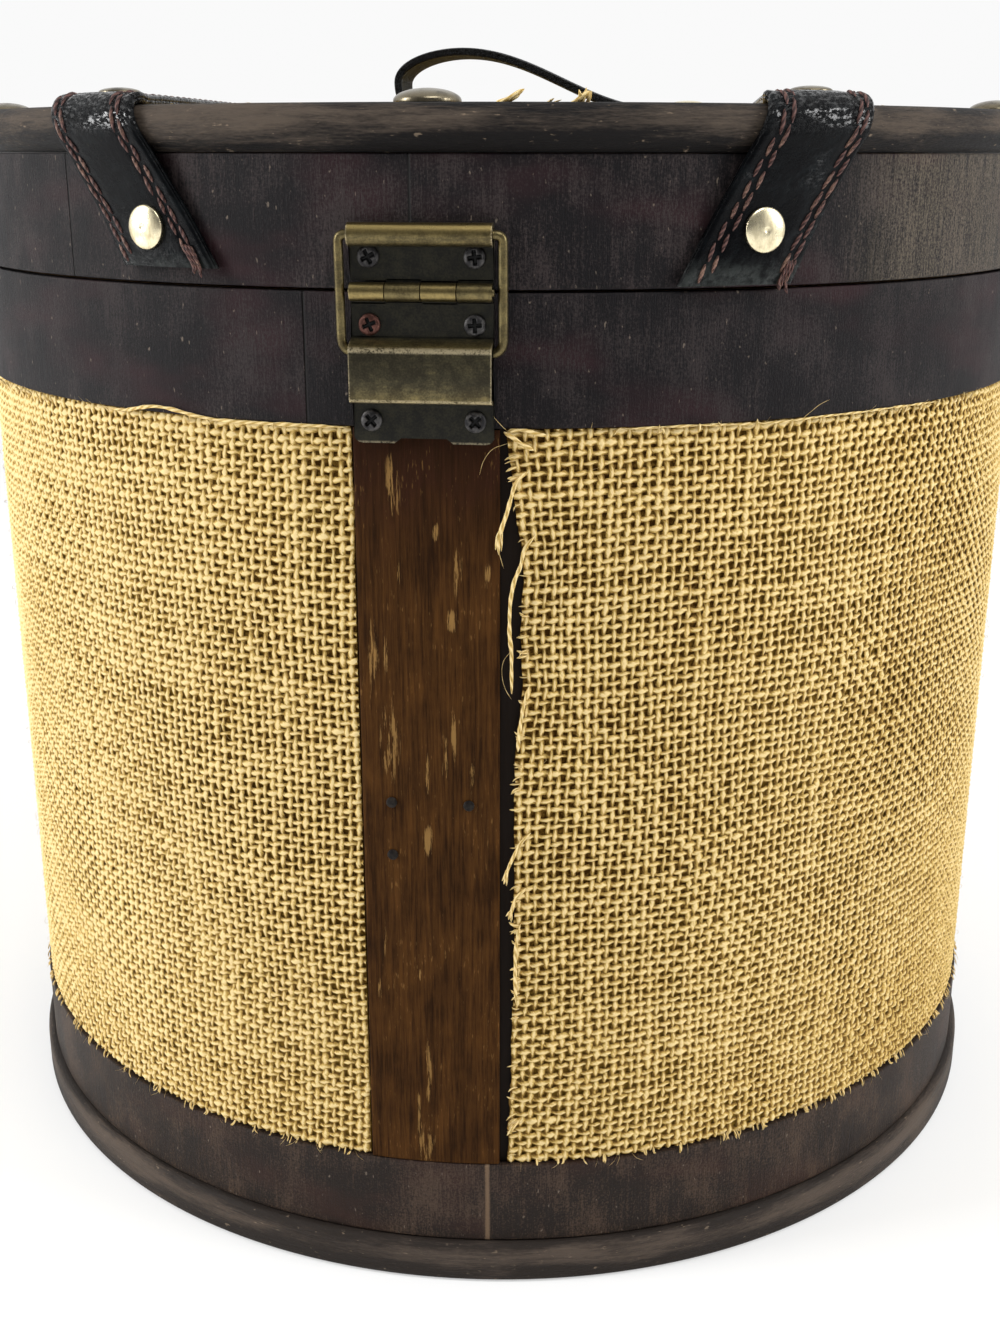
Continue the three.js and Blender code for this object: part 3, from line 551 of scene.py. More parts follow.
gap_shade_film, tone = new_finish("gap_shade_film")
spot = object_spot(tone)
fluff = cloudy(tone, spot, (900, 900, 900), 4.0, 0.7)
x, y, z = (axis_of(spot, number) for number in range(3))
aside, low = ease(y, -0.146, -0.115), 1.0 - ease(z, 0.05, 0.13)
# The film's colour is painted shade: darkest near the batten and on the right, lightened towards the sides, the
# foot and the left.
film_lightening = ease(aside * (0.85 - x * 2.2) + low * 0.45 - x * 2.4, 0.0, 1.0)
colour = mingle(ease(fluff, 0.42, 0.70), mingle(film_lightening, GAP_FILM_SHADE, GAP_FILM_LIGHTENED), JUTE_DEEP)
sockets = {"Base Color": colour, "Roughness": 0.8, "Specular IOR Level": 0.03}
close_finish(tone, sockets, fluff, depth=0.0002)
film_arc = np.linspace(WRAP_FROM, WRAP_TO, 361)[None, :] * WRAP_R
film_up = np.linspace(WRAP_LOW, WRAP_HIGH, 49)[:, None]
film_uv = stacked(film_arc, film_up)
film_points = on_cylinder(film_arc, film_up, FILM_R + 0 * film_arc)
wrap = put_mesh("hessian_wrap", skin(film_points, film_uv))
thickness = wrap.modifiers.new("film_thickness", "SOLIDIFY")
thickness.thickness, thickness.offset = FILM_T, -1.0
settle(wrap, gap_shade_film, "box", "burlap", "burlap_wrap")


def jute_yarn(name, paler):
    """Twisted jute on a uv of place across and sample along: slanting fibres, stretches of another tone
    and blotches over the cloth, with painted shade where the yarn dives towards the wall and at its
    sides, a painted highlight on its crowns, and painted shade that makes it browner towards the foot,
    the sides and the right."""
    finish, tone = new_finish(name)
    spot = tone.node("ShaderNodeUVMap")
    u = axis_of(spot, 0)
    v = axis_of(spot, 1)
    place = object_spot(tone)
    twist = tone.node("ShaderNodeCombineXYZ", None, {"X": u * 1.6 + v * 1.15, "Y": v * 0.85})
    along_twist = {"Vector": twist, "Scale": 1.5, "Detail": 4.0, "Roughness": 0.75}
    fibre = tone.node("ShaderNodeTexNoise", None, along_twist)
    along_yarn = {"W": v * 0.11, "Scale": 1.0, "Detail": 2.0}
    slow = tone.node("ShaderNodeTexNoise", {"noise_dimensions": "1D"}, along_yarn)
    blotch = cloudy(tone, place, (26, 26, 26), 3.0)
    x, y, z = (axis_of(place, number) for number in range(3))
    # Painted shade by place: browner towards the foot, the sides and the right.
    painted_shade_by_place = x * 0.5 - ease(z, 0.03, 0.13) * 0.13 + ease(y, -0.135, -0.08) * 0.14
    # Painted highlight where the yarn stands out from the wall and along its middle, painted shade where it
    # dives and at its sides.
    painted_crown_light = ease(off_axis(tone, place), YARN_R, YARN_R + 0.0008)
    rounded = 1.0 - abs(u - 0.5) * 2.0
    shade = fibre * 1.85 + slow * 0.14 + painted_crown_light * 0.60 + rounded * 0.46 + blotch * 0.24
    shade = shade - painted_shade_by_place - 1.245 + paler
    colour = mingle(ease(shade, 0.06, 0.36), JUTE_DEEP, JUTE_MID)
    colour = mingle(ease(shade, 0.32, 0.62), colour, JUTE_LIGHT)
    colour = mingle(ease(shade, 0.58, 0.86), colour, JUTE_PALE)
    sockets = {"Base Color": colour, "Roughness": 0.78, "Specular IOR Level": 0.2}
    close_finish(tone, sockets, fibre, depth=0.00034)
    return finish


def uneven(lanes, samples, seed, slub):
    """Sway of each yarn across its lane, in pitches, and swell of its thickness, as a factor: sine waves
    of seeded spans and phases along the yarn, a constant of its own, and a little roll of the dice.
    The slub is how much thicker or thinner whole yarns and long stretches of them are."""
    dice = np.random.default_rng(seed)

    def pick(low, high):
        return dice.uniform(low, high, (lanes, 1))

    def wave(low, high):
        return np.sin(2 * np.pi * samples[None, :] / pick(low, high) + pick(0, 6.3))

    sway = 0.07 * wave(16, 44) + 0.05 * wave(5, 11) + dice.normal(0, 0.045, (lanes, 1))
    thick = pick(1 - slub, 1 + slub) * (1 + slub * wave(24, 70) + 0.12 * wave(3, 9))
    swell = thick * (1 + dice.normal(0, 0.12, (lanes, len(samples))))
    return sway, swell.clip(0.55, 1.6)


def closeness(arc, up):
    """How much fuller the yarns are, as a factor: pressed flat below a hand's height, again away from
    the batten, and more and more the further round the strip, each with a straight rise from none."""
    low = ((0.120 - up) / 0.07).clip(0, 1)
    aside = (np.minimum(arc, 2 * np.pi * WRAP_R - arc) / WRAP_R - 0.22).clip(0, 0.45) / 0.45
    return 1 + 0.22 * low + 0.20 * aside + 0.10 * arc / (2 * np.pi * WRAP_R)


def lay_yarns(name, finish, points, upright, first):
    """Many yarns at once, as an array of yarns by samples by three points across: each yarn is a strip
    of two faces across with its middle raised. Their uv is the place across and the sample along, and
    a second map lays the yarns side by side in one square."""
    lanes, samples = points.shape[:2]
    lane, k, c = np.meshgrid(np.arange(lanes), np.arange(samples - 1), np.arange(2), indexing="ij")
    a = (lane * samples * 3 + k * 3 + c).ravel()
    corners = (0, 1, 4, 3) if upright else (0, 3, 4, 1)
    quads = np.stack([a + step for step in corners], -1)
    number = np.arange(lanes)[:, None, None]
    along, across = np.arange(samples)[None, :, None] / 2, np.arange(3)[None, None, :] / 2
    uv = stacked(across, along + 61.7 * (number + first))
    atlas = stacked(0.002 + 0.996 * along / along.max(), (number + 0.06 + 0.88 * across) / lanes)
    corner_uvs = uv.reshape(-1, 2)[quads].reshape(-1, 2)
    piece = put_mesh(name, (points.reshape(-1, 3), quads.tolist(), corner_uvs), sharp=180)
    layer = piece.data.uv_layers.new(name="OFBake")
    layer.data.foreach_set("uv", atlas.reshape(-1, 2)[quads].astype(np.float32).ravel())
    settle(piece, finish, "box", "burlap")
    return piece


wrap_length, wrap_height = (WRAP_TO - WRAP_FROM) * WRAP_R, WRAP_HIGH - WRAP_LOW
warps, wefts = round(wrap_length / PITCH_ACROSS), round(wrap_height / PITCH_UP)
pitch_x, pitch_z = wrap_length / warps, wrap_height / wefts
tent = np.array([0.0, 1.0, 0.0])
spread = np.array([-1.0, 0.0, 1.0])
step = np.arange(2 * wefts + 1)
sway, swell = uneven(warps, step / 2, 51, 0.14)
phase = np.pi * (step / 2 - 0.5)[None, :]
turns = (-1.0) ** np.arange(warps)[:, None]
wave, sway = turns * np.cos(phase), sway + 0.4 * LEAN * turns * np.sin(phase)
up = WRAP_LOW + step * pitch_z / 2 + 0 * sway
arc = WRAP_FROM * WRAP_R + (np.arange(warps)[:, None] + 0.5 + sway) * pitch_x
arc = arc + pitch_x * gentle_waves(11, arc, up, (0.27, 0.13, 0.058), 0.4)
radius = YARN_R + WAVE * wave
swell = swell * closeness(arc, up)
warp_points = on_cylinder(
    arc[..., None] + WARP_HALF * swell[..., None] * spread, up[..., None] + 0 * spread,
    radius[..., None] + YARN_RISE * np.sqrt(swell)[..., None] * tent)
step = np.arange(2 * warps + 1)
sway, swell = uneven(wefts, step / 2, 53, 0.14)
phase = np.pi * (step / 2 - 0.5)[None, :]
turns = -((-1.0) ** np.arange(wefts)[:, None])
wave, sway = turns * np.cos(phase), sway + LEAN * turns * np.sin(phase)
arc = WRAP_FROM * WRAP_R + step * pitch_x / 2 + 0 * sway
up = WRAP_LOW + (np.arange(wefts)[:, None] + 0.5 + sway) * pitch_z
hem = np.minimum(1, np.minimum(up - WRAP_LOW, WRAP_HIGH - up) / 0.006)
up = up + hem * pitch_z * gentle_waves(13, arc, up, (0.34, 0.15, 0.061), 0.4)
radius = YARN_R + WAVE * wave
swell = swell * closeness(arc, up)
weft_points = on_cylinder(
    arc[..., None] + 0 * spread, up[..., None] + WEFT_HALF * swell[..., None] * spread,
    radius[..., None] + YARN_RISE * np.sqrt(swell)[..., None] * tent)
half_warps, half_wefts = warps // 2, wefts // 2
warp_jute, weft_jute = jute_yarn("jute_warp", 0.0), jute_yarn("jute_weft", 0.04)
yarns = [
    lay_yarns("hessian_warp_right", warp_jute, warp_points[:half_warps], True, 0),
    lay_yarns("hessian_warp_left", warp_jute, warp_points[half_warps:], True, half_warps),
    lay_yarns("hessian_weft_low", weft_jute, weft_points[:half_wefts], False, 500),
    lay_yarns("hessian_weft_high", weft_jute, weft_points[half_wefts:], False, 500 + half_wefts),
]


def smooth_course(knots, count):
    """A curve through knots by cubic pieces whose slopes are the chords of their neighbours, and the
    length along it: each piece is the Hermite cubic of its two ends."""
    span = run_along(knots)
    slope = np.gradient(knots, span, axis=0)
    at = np.linspace(0, span[-1], count)
    piece = np.clip(np.searchsorted(span, at, side="right") - 1, 0, len(span) - 2)
    wide = (span[piece + 1] - span[piece])[:, None]
    t = (at - span[piece])[:, None] / wide
    curve = (2 * t**3 - 3 * t**2 + 1) * knots[piece] + (t**3 - 2 * t**2 + t) * wide * slope[piece]
    curve += (3 * t**2 - 2 * t**3) * knots[piece + 1] + (t**3 - t**2) * wide * slope[piece + 1]
    length = run_along(curve)
    return curve, length


def closed_loft(rings, uv):
    """Rings of points, one row each, skinned into a closed body: each end is drawn in to its middle."""
    ends = [np.broadcast_to(r.mean(0), r.shape) for r in (rings[0], rings[-1])]
    rims = [0.02 * e + 0.98 * r for e, r in zip(ends, (rings[0], rings[-1]))]
    rings = np.concatenate([ends[:1], rims[:1], rings, rims[1:], ends[1:]])
    uv = np.concatenate([uv[:1], uv[:1], uv, uv[-1:], uv[-1:]])
    return skin(rings, uv, turned=True)


def strand(path, thickness, seed, sides=6, step=0.0007):
    """A loose yarn: a ring of points carried along a smooth path. Its thickness is uneven by a few
    sine waves and drawn in at both ends."""
    span = np.linalg.norm(np.diff(path, axis=0), axis=1).sum()
    curve, s = smooth_course(path, int(np.clip(span / step, 5, 240)))
    along = unit(np.gradient(curve, s, axis=0))
    side = unit(np.cross(along, (0.36, 0.48, 0.80)))
    other = np.cross(along, side)
    tip = np.minimum(1, 0.25 + 9 * np.minimum(s, s[-1] - s) / s[-1])
    girth = thickness * tip * (1 + gentle_waves(seed, s, 0 * s, (0.009, 0.0047, 0.0029), 0.35))
    swing = np.arange(sides + 1)[None, :] * 2 * np.pi / sides
    ring = np.cos(swing[:, :-1, None]) * side[:, None] + np.sin(swing[:, :-1, None]) * other[:, None]
    uv = stacked(swing / (2 * np.pi), s[:, None] / 0.002 + 7.3 * seed)
    return closed_loft(curve[:, None] + girth[:, None, None] * ring, uv)


def on_wrap(rows):
    """Points from rows of degrees from the hinge, height and rise above the cloth in mm: x = r sin a,
    y = -r cos a."""
    degrees, height, rise = np.asarray(rows, float).T
    reach, turn = WRAP_R + 0.0003 + rise / 1000, np.radians(degrees)
    return np.stack([reach * np.sin(turn), -reach * np.cos(turn), height / 1000], -1)


loose_jute, tone = new_finish("loose_jute")
spot = tone.node("ShaderNodeUVMap")
u = axis_of(spot, 0)
v = axis_of(spot, 1)
ply = u.maths("SINE", u * 12.566 + v * 4.4) * 0.5 + 0.5
fibre = cloudy(tone, spot, (7, 1.1, 1), 3.0, 0.6)
colour = mingle(ease(ply * 0.35 + fibre * 0.8, 0.32, 0.78), JUTE_MID, JUTE_PALE)
sockets = {"Base Color": colour, "Roughness": 0.8, "Specular IOR Level": 0.2}
close_finish(tone, sockets, ply + fibre, depth=0.00012)

hem_left = [(-33, 221, 0.4), (-29.5, 221.2, 0.6), (-27.6, 222.2, 1.3), (-25.6, 223.0, 1.6), (-23.4, 222.7, 1.5),
            (-21.6, 221.9, 1.3), (-19.4, 221.2, 0.8), (-15, 221.1, 0.6), (-10.5, 221.2, 0.6), (-6.8, 221.2, 0.6)]
hem_right = [(15.5, 221.0, 0.4), (18.5, 221.2, 0.5), (21.2, 221.3, 0.6), (24, 221.3, 0.6), (26, 221.1, 0.5),
             (29, 220.9, 0.4), (32.3, 221.0, 0.5), (34.9, 221.3, 0.6), (37.8, 221.4, 0.7), (40.8, 221.4, 0.7),
             (44, 221.5, 0.8), (47, 221.4, 0.7), (52, 221.0, 0.4)]
upper_bundle = [(8.7, 212.2, 0.2), (7.7, 210, 0.9), (7.22, 206.4, 1.2), (6.81, 202.5, 1.4), (6.47, 199.9, 1.4)]
lower_bundle = [(9.1, 125.4, 0.1), (8.13, 122.9, 0.7), (7.55, 119.8, 0.9), (7.03, 116.4, 0.9)]
small_tuft = [(8.7, 111, 0.1), (7.71, 108.4, 0.6), (7.43, 105.8, 0.7)]
hanging = [(9.3, 197.6, 0.1), (8.44, 195, 0.8), (8.03, 190.7, 0.8), (7.53, 187.3, 0.6), (7.2, 182.6, 0.4),
           (7.12, 178.3, 0.3), (7.13, 174.4, 0.3), (7.29, 170.5, 0.3), (7.3, 166.4, 0.3), (7.33, 160.4, 0.2)]
loose_yarns = [
    (0.40, hem_left), (0.27, hem_right), (0.42, hanging),
    (0.50, [(6.6, 220.9, 1.0), (7.4, 219.6, 1.3), (8.4, 217.8, 1.0), (9.1, 216.8, 0.3)]),
    (0.42, [(6.9, 221.0, 0.9), (7.7, 221.4, 1.3), (8.5, 221.2, 1.2), (9.4, 220.4, 0.7), (10.2, 219.9, 0.2)]),
    (0.44, upper_bundle + [(6.15, 196.5, 1.2), (6.2, 193.4, 0.9)]),
    (0.34, upper_bundle + [(6.02, 197.2, 1.3), (5.92, 194.6, 1.1)]),
    (0.34, upper_bundle + [(6.42, 196.8, 1.2), (6.4, 194.2, 0.9)]),
    (0.40, lower_bundle + [(6.66, 112.5, 0.8)]), (0.30, lower_bundle + [(6.9, 112.0, 0.6)]),
    (0.30, lower_bundle + [(6.5, 113.4, 0.9)]),
    (0.42, small_tuft + [(7.1, 103.1, 0.7)]), (0.32, small_tuft + [(7.35, 102.4, 0.6)]),
    (0.30, small_tuft + [(6.85, 104, 0.8)]),
    (0.45, [(8.9, 162.2, 0.1), (8.5, 158.9, 0.4), (8.2, 154.5, 0.5), (7.97, 150, 0.4), (7.9, 146.0, 0.1)]),
    (0.42, [(8.2, 101.5, 0.1), (7.95, 99.0, 0.4), (7.75, 92.7, 0.4), (7.75, 86.7, 0.3), (7.8, 80, 0.1)]),
    (0.30, [(8.4, 47, 0.1), (7.5, 44.5, 0.6), (7.0, 42.6, 0.7)]),
    (0.07, [(33.4, 221.0, 0.5), (34.2, 222.9, 1.3), (35.06, 224.4, 1.6), (35.9, 225.3, 2.0)]),
    (0.06, [(5.7, 224.8, 3.0), (6.2, 223.1, 2.4), (6.85, 221.2, 1.0)]),
    (0.06, [(6.9, 218.4, 0.9), (5.6, 217.1, 1.5), (4.9, 214.5, 1.6), (4.57, 211.4, 1.0)]),
    (0.06, [(6.1, 195, 1.0), (6.35, 192.5, 0.9), (6.6, 190.3, 1.0)]),
    (0.06, [(7.3, 171, 0.6), (6.6, 168.5, 1.1), (6.5, 164.5, 1.2), (6.9, 161, 0.9), (7.3, 159.2, 0.6)]),
]
fringe = [strand(on_wrap(rows), width / 1000, seed) for seed, (width, rows) in enumerate(loose_yarns)]
dice = np.random.default_rng(41)
# short ends along the raw edge beside the batten
for seed in range(46):
    height = dice.uniform(36, 219)
    start = np.interp(height / 1000, CUT_HEIGHTS, CUT_DEGREES)
    reach, drop, rise = dice.uniform(0.1, 0.5), dice.normal(0, 0.9), dice.uniform(0.1, 0.7)
    rows = [(start + 0.6, height, 0.0), (start, height + 0.3 * drop, 0.6 * rise),
            (start - reach, height + drop, rise)]
    fringe.append(strand(on_wrap(rows), dice.uniform(0.10, 0.34) / 1000, seed, sides=4, step=0.0006))
# hairs along both hems
for seed in range(240):
    turn, lean, reach = dice.uniform(8, 352), dice.normal(0, 0.7), dice.uniform(0.4, 2.0)
    edge, way = ((221.0, 1), (34.1, -1))[seed % 2]
    rows = [(turn, edge - 0.6 * way, 0.1), (turn + 0.3 * lean, edge + 0.4 * way, 1.0),
            (turn + lean, edge + reach * way, 1.2 + 0.3 * reach)]
    fringe.append(strand(on_wrap(rows), dice.uniform(0.03, 0.06) / 1000, seed, sides=3, step=0.0009))
# cut ends of the upright yarns at both hems
for seed in range(420):
    turn, lean, low = dice.uniform(8, 352), dice.normal(0, 0.25), dice.normal(-0.35, 0.4)
    edge, way = (34.2, -1) if seed % 3 else (220.9, 1)
    rows = [(turn, edge - 1.2 * way, 0.2), (turn + 0.4 * lean, edge + 0.1 * way, 0.95),
            (turn + lean, edge + (0.9 + low) * way, 1.15)]
    fringe.append(strand(on_wrap(rows), dice.uniform(0.15, 0.36) / 1000, seed, sides=4, step=0.0008))
# fine hairs all over the cloth
for seed in range(620):
    turn, height = dice.uniform(9, 352), dice.uniform(37, 219)
    over, rise = dice.normal(0, 0.8, 2), dice.uniform(0.5, 1.1)
    rows = [(turn, height, 0.1), (turn + 0.5 * over[0] + 0.2, height + 0.6 * over[1], rise),
            (turn + over[0], height + 1.6 * over[1], 0.5 * rise)]
    fringe.append(strand(on_wrap(rows), dice.uniform(0.03, 0.05) / 1000, seed, sides=3, step=0.0012))
wrap_fringe = put_mesh("hessian_loose_yarns", *fringe, sharp=180)
settle(wrap_fringe, loose_jute, "box", "burlap")


# Back batten: an upright strip that covers the joint of the wall below the hinge.
# Walnut-stained wood, its edges eased, scratched along the grain; bare spots are given by degrees,
# height, half length and half width.
BATTEN_IN_R = 0.1484
BATTEN_OUT_R = 0.1501
BATTEN_HALF = math.radians(6.28)
WALNUT_DEEP = (0.016, 0.0062, 0.0018, 1)
WALNUT = (0.080, 0.0325, 0.0080, 1)
WALNUT_TOP = (0.030, 0.0105, 0.0050, 1)
WALNUT_FLECK = (0.24, 0.130, 0.040, 1)
WALNUT_BARE = (0.36, 0.205, 0.066, 1)
BARE_SPOTS = (
    (-2.9, 0.2082, 0.0059, 0.0013), (0.8, 0.1981, 0.0019, 0.0007), (2.7, 0.1897, 0.0053, 0.0010),
    (5.2, 0.1891, 0.0021, 0.0007), (-2.5, 0.1876, 0.0072, 0.0003), (2.1, 0.1775, 0.0024, 0.0013),
    (-4.9, 0.1693, 0.0070, 0.0011), (-3.8, 0.1690, 0.0058, 0.0005), (-3.6, 0.1482, 0.0084, 0.0020),
    (-0.2, 0.1390, 0.0050, 0.0005), (1.4, 0.1440, 0.0060, 0.0006), (2.2, 0.1500, 0.0060, 0.0005),
    (3.8, 0.1400, 0.0060, 0.0005), (-0.2, 0.1227, 0.0034, 0.0013), (-4.5, 0.0978, 0.0046, 0.0004),
    (-0.7, 0.0910, 0.0016, 0.0004), (-1.2, 0.0873, 0.0014, 0.0006), (-5.1, 0.0828, 0.0042, 0.0005),
    (-0.5, 0.0603, 0.0108, 0.0008), (-1.5, 0.0493, 0.0038, 0.0005), (-1.0, 0.0395, 0.0059, 0.0022),
)

walnut, tone = new_finish("walnut_stain")
spot = tone.node("ShaderNodeUVMap")
place = object_spot(tone)
x = axis_of(place, 0)
z = axis_of(place, 2)
figure = cloudy(tone, spot, (420, 24, 1), 5.0, 0.62)
pores = cloudy(tone, spot, (1500, 60, 1), 5.0, 0.75)
scratch = cloudy(tone, spot, (2100, 330, 1), 2.0)
patch = cloudy(tone, spot, (95, 60, 1), 4.0, 0.6)
frayed = cloudy(tone, place, (1350, 1350, 105), 4.0, 0.72)
bare = 0.0 * x
for degrees, height, half_long, half_wide in BARE_SPOTS:
    aside = (x - BATTEN_OUT_R * math.sin(math.radians(degrees))) * (1 / half_wide)
    above = (z - height) * (1 / half_long)
    bare = x.maths("MAXIMUM", bare, 1.0 - ease(aside * aside + above * above, 0.2, 2.6))
bare = ease(bare * 0.16 + frayed, 0.64, 0.72) * (0.10 + 0.90 * bare)
brown = mingle(ease(z + patch * 0.05, 0.205, 0.245), WALNUT, WALNUT_TOP)
colour = mingle(ease(figure * 0.34 + pores * 0.62 + patch * 0.36, 0.50, 0.84), WALNUT_DEEP, brown)
flecks = ease(scratch * 0.74 + patch * 0.42, 0.70, 0.80)
colour = mingle(flecks * 0.42, colour, WALNUT_FLECK)
colour = mingle(bare * 0.58, colour, WALNUT_BARE)
sockets = {"Base Color": colour, "Roughness": 0.50 + 0.25 * pores, "Specular IOR Level": 0.04}
close_finish(tone, sockets, pores * 0.6 + figure * 0.3 - bare * 0.3, depth=0.00028)

edge_a = BATTEN_HALF * BATTEN_OUT_R
section = [(-edge_a, BATTEN_IN_R), (edge_a, BATTEN_IN_R), (edge_a, BATTEN_OUT_R), (-edge_a, BATTEN_OUT_R)]
section = eased(section, (0.0003, 0.0003, 0.0006, 0.0006))


def filled_in(outline, longest):
    """Adds points to a closed outline so that no stretch of it is longer than the longest."""
    ahead = np.roll(outline, -1, 0)
    counts = np.ceil(np.linalg.norm(ahead - outline, axis=1) / longest).clip(1).astype(int)
    start = np.repeat(outline, counts, 0)
    stretch = np.repeat(ahead - outline, counts, 0)
    steps = np.arange(counts.sum()) - np.repeat(np.cumsum(counts) - counts, counts)
    return start + stretch * (steps / np.repeat(counts, counts))[:, None]


section = filled_in(section, 0.003)
shares = np.concatenate([[0, 0.0003], np.linspace(0.0006, 0.9994, 24), [0.9997, 1]])
heights = shares * (WRAP_HIGH - WRAP_LOW) + WRAP_LOW
angle = section[:, 0] / BATTEN_OUT_R
ring = np.stack([section[:, 1] * np.sin(angle), -section[:, 1] * np.cos(angle), 0 * angle], -1)
rings = ring[None] + np.array([0, 0, 1]) * heights[:, None, None]
outline = np.vstack([section, section[:1]])
along = run_along(outline)
uv = stacked(along[None, :], heights[:, None])
batten = put_mesh("back_batten_strip", closed_loft(rings, uv))
settle(batten, walnut, "box", "walnut_batten", "back_batten")


# Batten tacks: three small round-headed nails that hold the batten to the wall.
# Dark steel, driven nearly flush.
TACK_R = 0.0013
TACK_H = 0.0006
TACK_GAP = 0.0002
TACKS = ((-0.0092, 0.1325), (0.0092, 0.1325), (-0.0092, 0.119))
STEEL_DARK = (0.006, 0.0047, 0.004, 1)
STEEL_WORN = (0.022, 0.0175, 0.014, 1)


def cap_on(profile, seat, outward, columns=32):
    """A half section of (radius, height) turned round an outward axis that stands on a seat."""
    outward = np.asarray(outward, float) / np.linalg.norm(outward)
    side = np.cross(outward, (0, 0, 1) if abs(outward[2]) < 0.9 else (0, 1, 0))
    side /= np.linalg.norm(side)
    other = np.cross(outward, side)
    angle = np.arange(columns + 1) * 2 * np.pi / columns
    radius, height = profile[:, :1, None], profile[:, 1:, None]
    turned = np.cos(angle[:-1, None]) * side + np.sin(angle[:-1, None]) * other
    points = np.asarray(seat) + radius * turned + height * outward
    along = run_along(profile)
    uv = stacked(angle[None, :] / (2 * np.pi), along[:, None])
    return skin(points, uv, turned=True)


def dome_profile(radius, height, lip, below=0.0, dimple=0.0, steps=14):
    """From the middle of the underside out to a rounded lip, then up a flat ellipse to the crown,
    where a small dimple may dip in."""
    t = np.linspace(0, np.pi / 2, steps + 1)
    bow = np.stack([radius * np.cos(t), lip + (height - lip) * np.sin(t)], -1)
    bow[:, 1] -= dimple * np.exp(-((bow[:, 0] / (0.09 * radius)) ** 2))
    low = [(0, -below), (radius * 0.9, -below), (radius * 0.985, -below + 0.15 * lip),
           (radius, lip * 0.5 - 0.5 * below)]
    return np.vstack([low, bow[:-1], [(0, bow[-1, 1])]])


dark_steel, tone = new_finish("dark_steel")
spot = object_spot(tone)
wear = cloudy(tone, spot, (700, 700, 700), 3.0)
colour = mingle(ease(wear, 0.35, 0.7), STEEL_DARK, STEEL_WORN)
sockets = {"Base Color": colour, "Specular IOR Level": 0.12, "Roughness": 0.34 + 0.25 * wear}
close_finish(tone, sockets, wear, depth=0.00005)
tack_profile = dome_profile(TACK_R, TACK_H, TACK_H / 3, 0.0003)
for number, (x, z) in enumerate(TACKS, 1):
    lean = x / BATTEN_OUT_R
    out = np.array([math.sin(lean), -math.cos(lean), 0])
    seat = out * (BATTEN_OUT_R + TACK_GAP) + np.array([0, 0, z])
    tack = put_mesh(f"tack_head_{number}", cap_on(tack_profile, seat, out, 16))
    settle(tack, dark_steel, "box", "dark_steel", f"batten_tack_{number}")


# Lid shell: a shallow bent plywood wall, a stained band glued round it and a plywood disc on top.
# The band is made of two strips, butted near the hinge and again a hand's breadth to its left, and
# carries a pale painted sheen to its right, where it catches the light at a glancing angle.
LID_LOW = 0.2510
LID_HIGH = 0.27875
LID_JOINT = -1.0
LID_JOINT_LEFT = -35.5
PANEL_R = 0.1462
PANEL_LOW = 0.2827
PANEL_HIGH = 0.2871
PANEL_EASE = 0.0005
SHEEN_STRETCH = (0.094, 0.20)

lid_wall_outline = eased(box_outline(WALL_INSIDE_R, WALL_R, LID_LOW, LID_HIGH), WALL_EASE)
lid_wall = turn_outline("lid_wall_ply", lid_wall_outline, start=math.pi)
settle(lid_wall, wall_raw, "lid", "raw_wood", "lid_wall")
lid_band = stained_ring("lid_band_strip", LID_LOW, LID_HIGH, LID_JOINT)
second_joint = math.radians((LID_JOINT_LEFT - LID_JOINT) % 360) * BAND_OUT_R
lid_stain = stained_band("stained_lid_band", further=second_joint, wear_and_sheen=SHEEN_STRETCH)
settle(lid_band, lid_stain, "lid", "stained_wood", "lid_band")
panel_outline = disc_outline(PANEL_R, PANEL_LOW, PANEL_HIGH, PANEL_EASE)
lid_panel = turn_outline("lid_panel_ply", panel_outline, 128, closed=False)
settle(lid_panel, raw_wood, "lid", "raw_wood", "lid_panel")


# Top hoop: a half-round wooden moulding round the edge of the lid, rebated inside for the panel.
# Stained darker than the base hoop and brown along its crest, partly rubbed and partly a painted highlight.
HOOP_CREST_R = 0.1494
HOOP_RX = 0.0036
HOOP_RZ = 0.005
HOOP_MID = 0.2838
REBATE_R = 0.1465
LEDGE_R = 0.1430
LEDGE_TOP = 0.2824
CREST_DARK = (0.0046, 0.0037, 0.0036, 1)
CREST_BROWN = (0.082, 0.063, 0.048, 1)

bow = np.linspace(-0.42 * np.pi, math.acos((REBATE_R - HOOP_CREST_R) / HOOP_RX), 22)
bow = np.stack([HOOP_CREST_R + HOOP_RX * np.cos(bow), HOOP_MID + HOOP_RZ * np.sin(bow)], -1)
low = HOOP_MID - HOOP_RZ
ledge = [(REBATE_R, LEDGE_TOP), (LEDGE_R, LEDGE_TOP), (LEDGE_R, low), (bow[0, 0] - 0.0003, low)]
top_hoop = turn_outline("top_hoop_moulding", np.vstack([bow, ledge]), 240, start=2.6, sharp=50)
crest_stain = rubbed_hoop("rubbed_top_hoop", 0.0084, 0.0075, CREST_DARK, CREST_BROWN)
settle(top_hoop, crest_stain, "lid", "stained_wood", "top_hoop")


# Lid hessian: a disc of the same jute, glued on the panel inside the hoop.
# Its raw edge lies against the hoop, with tufts of yarn standing up over it at the hinge side.
LID_CLOTH_R = 0.1461
LID_CLOTH_TOP = 0.2884
LID_CLOTH_T = 0.0008
JUTE_GAP_SHADE = (0.017, 0.0095, 0.0045, 1)
JUTE_SHEEN = (0.95, 0.78, 0.48, 1)


